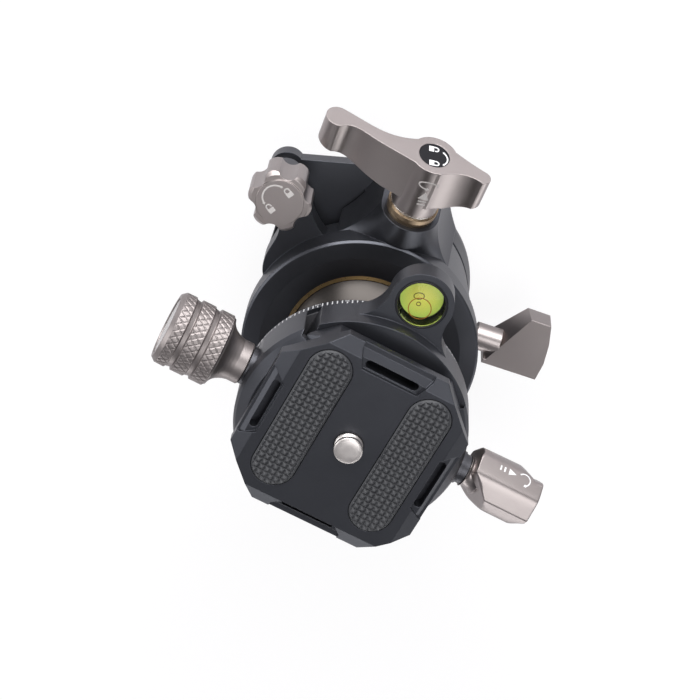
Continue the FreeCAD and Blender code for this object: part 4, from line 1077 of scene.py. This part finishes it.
def number_drawing(number, x, y):
    """A number as a flat drawing, its middle at x and its foot at y."""
    curve = bpy.data.curves.new("number", "FONT")
    curve.body = str(number)
    curve.size = NUMBER_SIZE
    curve.align_x = "CENTER"
    curve.resolution_u = 2
    text = bpy.data.objects.new("number", curve)
    mesh = bpy.data.meshes.new_from_object(text)
    mesh.calc_loop_triangles()
    faces = np.array([face.vertices[:] for face in mesh.loop_triangles])
    points = np.array([vertex.co[:2] for vertex in mesh.vertices]) + (x, y)
    bpy.data.objects.remove(text)
    bpy.data.curves.remove(curve)
    bpy.data.meshes.remove(mesh)
    return points, faces


def scale_drawing():
    """All ticks and numbers in one drawing: x is arc length round the disc, y is height."""
    drawings = []
    for k in range(TICKS):
        x = math.radians(360 * k / TICKS) * DISC_R
        bottom = TICK_END if k % NUMBERED else SHORT_END
        drawings.append(bar(x - TICK_WIDTH / 2, x + TICK_WIDTH / 2, bottom, TICK_TOP, steps=2))
        if k % NUMBERED == 0:
            drawings.append(number_drawing(360 * k // TICKS, x, NUMBER_FOOT))
    return together(drawings)


flat_points, scale_faces = scale_drawing()
turn = FIRST_TICK + flat_points[:, 0] / DISC_R
ways = np.column_stack([np.cos(turn), np.sin(turn), 0 * turn])
heights = np.outer(flat_points[:, 1], (0, 0, 1))
scale_points = np.concatenate([ways * radius + heights for radius in (DISC_R + INK, DISC_R - SUNK)]) * MM
scale_skin = closed_sheet(scale_faces, len(flat_points))
mesh_piece("scale_ticks", scale_points, scale_skin, "neck", SCALE_INK)
print("scale:", TICKS, "ticks")

# %% [markdown]
# ## Camera
# In the photograph the head lies on a white table and shows its plate to the camera. Here it stands on its
# foot, so the camera looks down at the plate, from the same side and with the same turn. A long lens far
# away keeps the circles nearly round.

# %% Camera
LENS, SENSOR = 100.8, 36.0
CAMERA_AT = (25.02, 205.36, 474.14)
UP, FORWARD = (0.0, 0.899, -0.439), (-0.058, -0.438, -0.897)

camera_data = bpy.data.cameras.new("camera")
camera_data.lens = LENS
camera_data.sensor_width = SENSOR
camera_data.clip_start = 0.01
camera_data.clip_end = 10
camera = bpy.data.objects.new("camera", camera_data)
back = -Vector(FORWARD).normalized()
right = Vector(UP).cross(back).normalized()
up = back.cross(right)
turned = Matrix((right, up, back)).transposed().to_4x4()
camera.matrix_world = Matrix.Translation(Vector(CAMERA_AT) * MM) @ turned
bpy.context.scene.collection.objects.link(camera)
bpy.context.scene.camera = camera
print("camera at", CAMERA_AT, "mm")

# %% [markdown]
# ## Floor and light
# The floor is a flat sheet of matt white. Lamps strong enough to show it as white would burn out the pale
# knobs, so it glows as well, for the camera alone, and the shadows on it stay soft and pale. Four wide
# lamps light the head: the strongest beyond the lever, a small one on the left, a long low one opposite
# the lever and a weak one overhead. A pale world fills in the rest.

# %% White floor
FLOOR_WHITE, FLOOR_REACH = (0.66, 0.65, 0.665), 4.0
GLOW_SHARE, GLOW_STRENGTH = 0.68, 1.16


def white_paper(name):
    """Matt white, mixed with a glow where the camera looks straight at it."""
    finish = Finish(name)
    matt = finish.add("BsdfDiffuse", sockets={"Color": (*FLOOR_WHITE, 1)})
    glow = finish.add("Emission", sockets={"Color": (1, 1, 1, 1), "Strength": GLOW_STRENGTH})
    seen = finish.add("LightPath", output="Is Camera Ray") * GLOW_SHARE
    mixed = finish.add("MixShader", sockets={0: seen, 1: matt, 2: glow})
    finish.add("OutputMaterial", sockets={"Surface": mixed})
    return finish.material


floor_mesh = bpy.data.meshes.new("floor")
floor_corners = [(x * FLOOR_REACH, y * FLOOR_REACH, 0) for x, y in ((-1, -1), (1, -1), (1, 1), (-1, 1))]
floor_mesh.from_pydata(floor_corners, [], [(0, 1, 2, 3)])
floor_mesh.materials.append(white_paper("floor"))
floor = bpy.data.objects.new("floor", floor_mesh)
bpy.context.scene.collection.objects.link(floor)

# %% Lamps and world
CENTRE = (0.0, 0.0, 0.06)
WORLD_COLOUR, WORLD_STRENGTH = (0.97, 0.96, 1.0), 0.3


def lamp(name, place, watts, wide, high):
    """A soft lamp at a place in metres, with its width and height, turned towards the head."""
    data = bpy.data.lights.new(name, "AREA")
    data.shape = "RECTANGLE"
    data.size = wide
    data.size_y = high
    data.energy = watts
    made = bpy.data.objects.new(name, data)
    turn = (Vector(CENTRE) - Vector(place)).to_track_quat("-Z", "Y").to_matrix().to_4x4()
    made.matrix_world = Matrix.Translation(Vector(place)) @ turn
    bpy.context.scene.collection.objects.link(made)


lamp("top_light", (0.1, 0.74, 0.34), 11.5, 0.9, 0.7)
lamp("left_light", (-0.7, 0.2, 0.4), 2.5, 0.5, 0.5)
lamp("table_light", (0.1, -0.6, 0.11), 2.2, 1.4, 0.2)
lamp("overhead_light", (0.2, 0.0, 0.85), 2.2, 0.5, 0.5)

world = bpy.data.worlds.new("studio")
world.use_nodes = True
background = world.node_tree.nodes["Background"]
background.inputs["Color"].default_value = (*WORLD_COLOUR, 1)
background.inputs["Strength"].default_value = WORLD_STRENGTH
bpy.context.scene.world = world
bpy.context.scene.view_settings.view_transform = "Standard"
print("lamps:", len(bpy.data.lights))

# %% The scene is built
print("scene built")
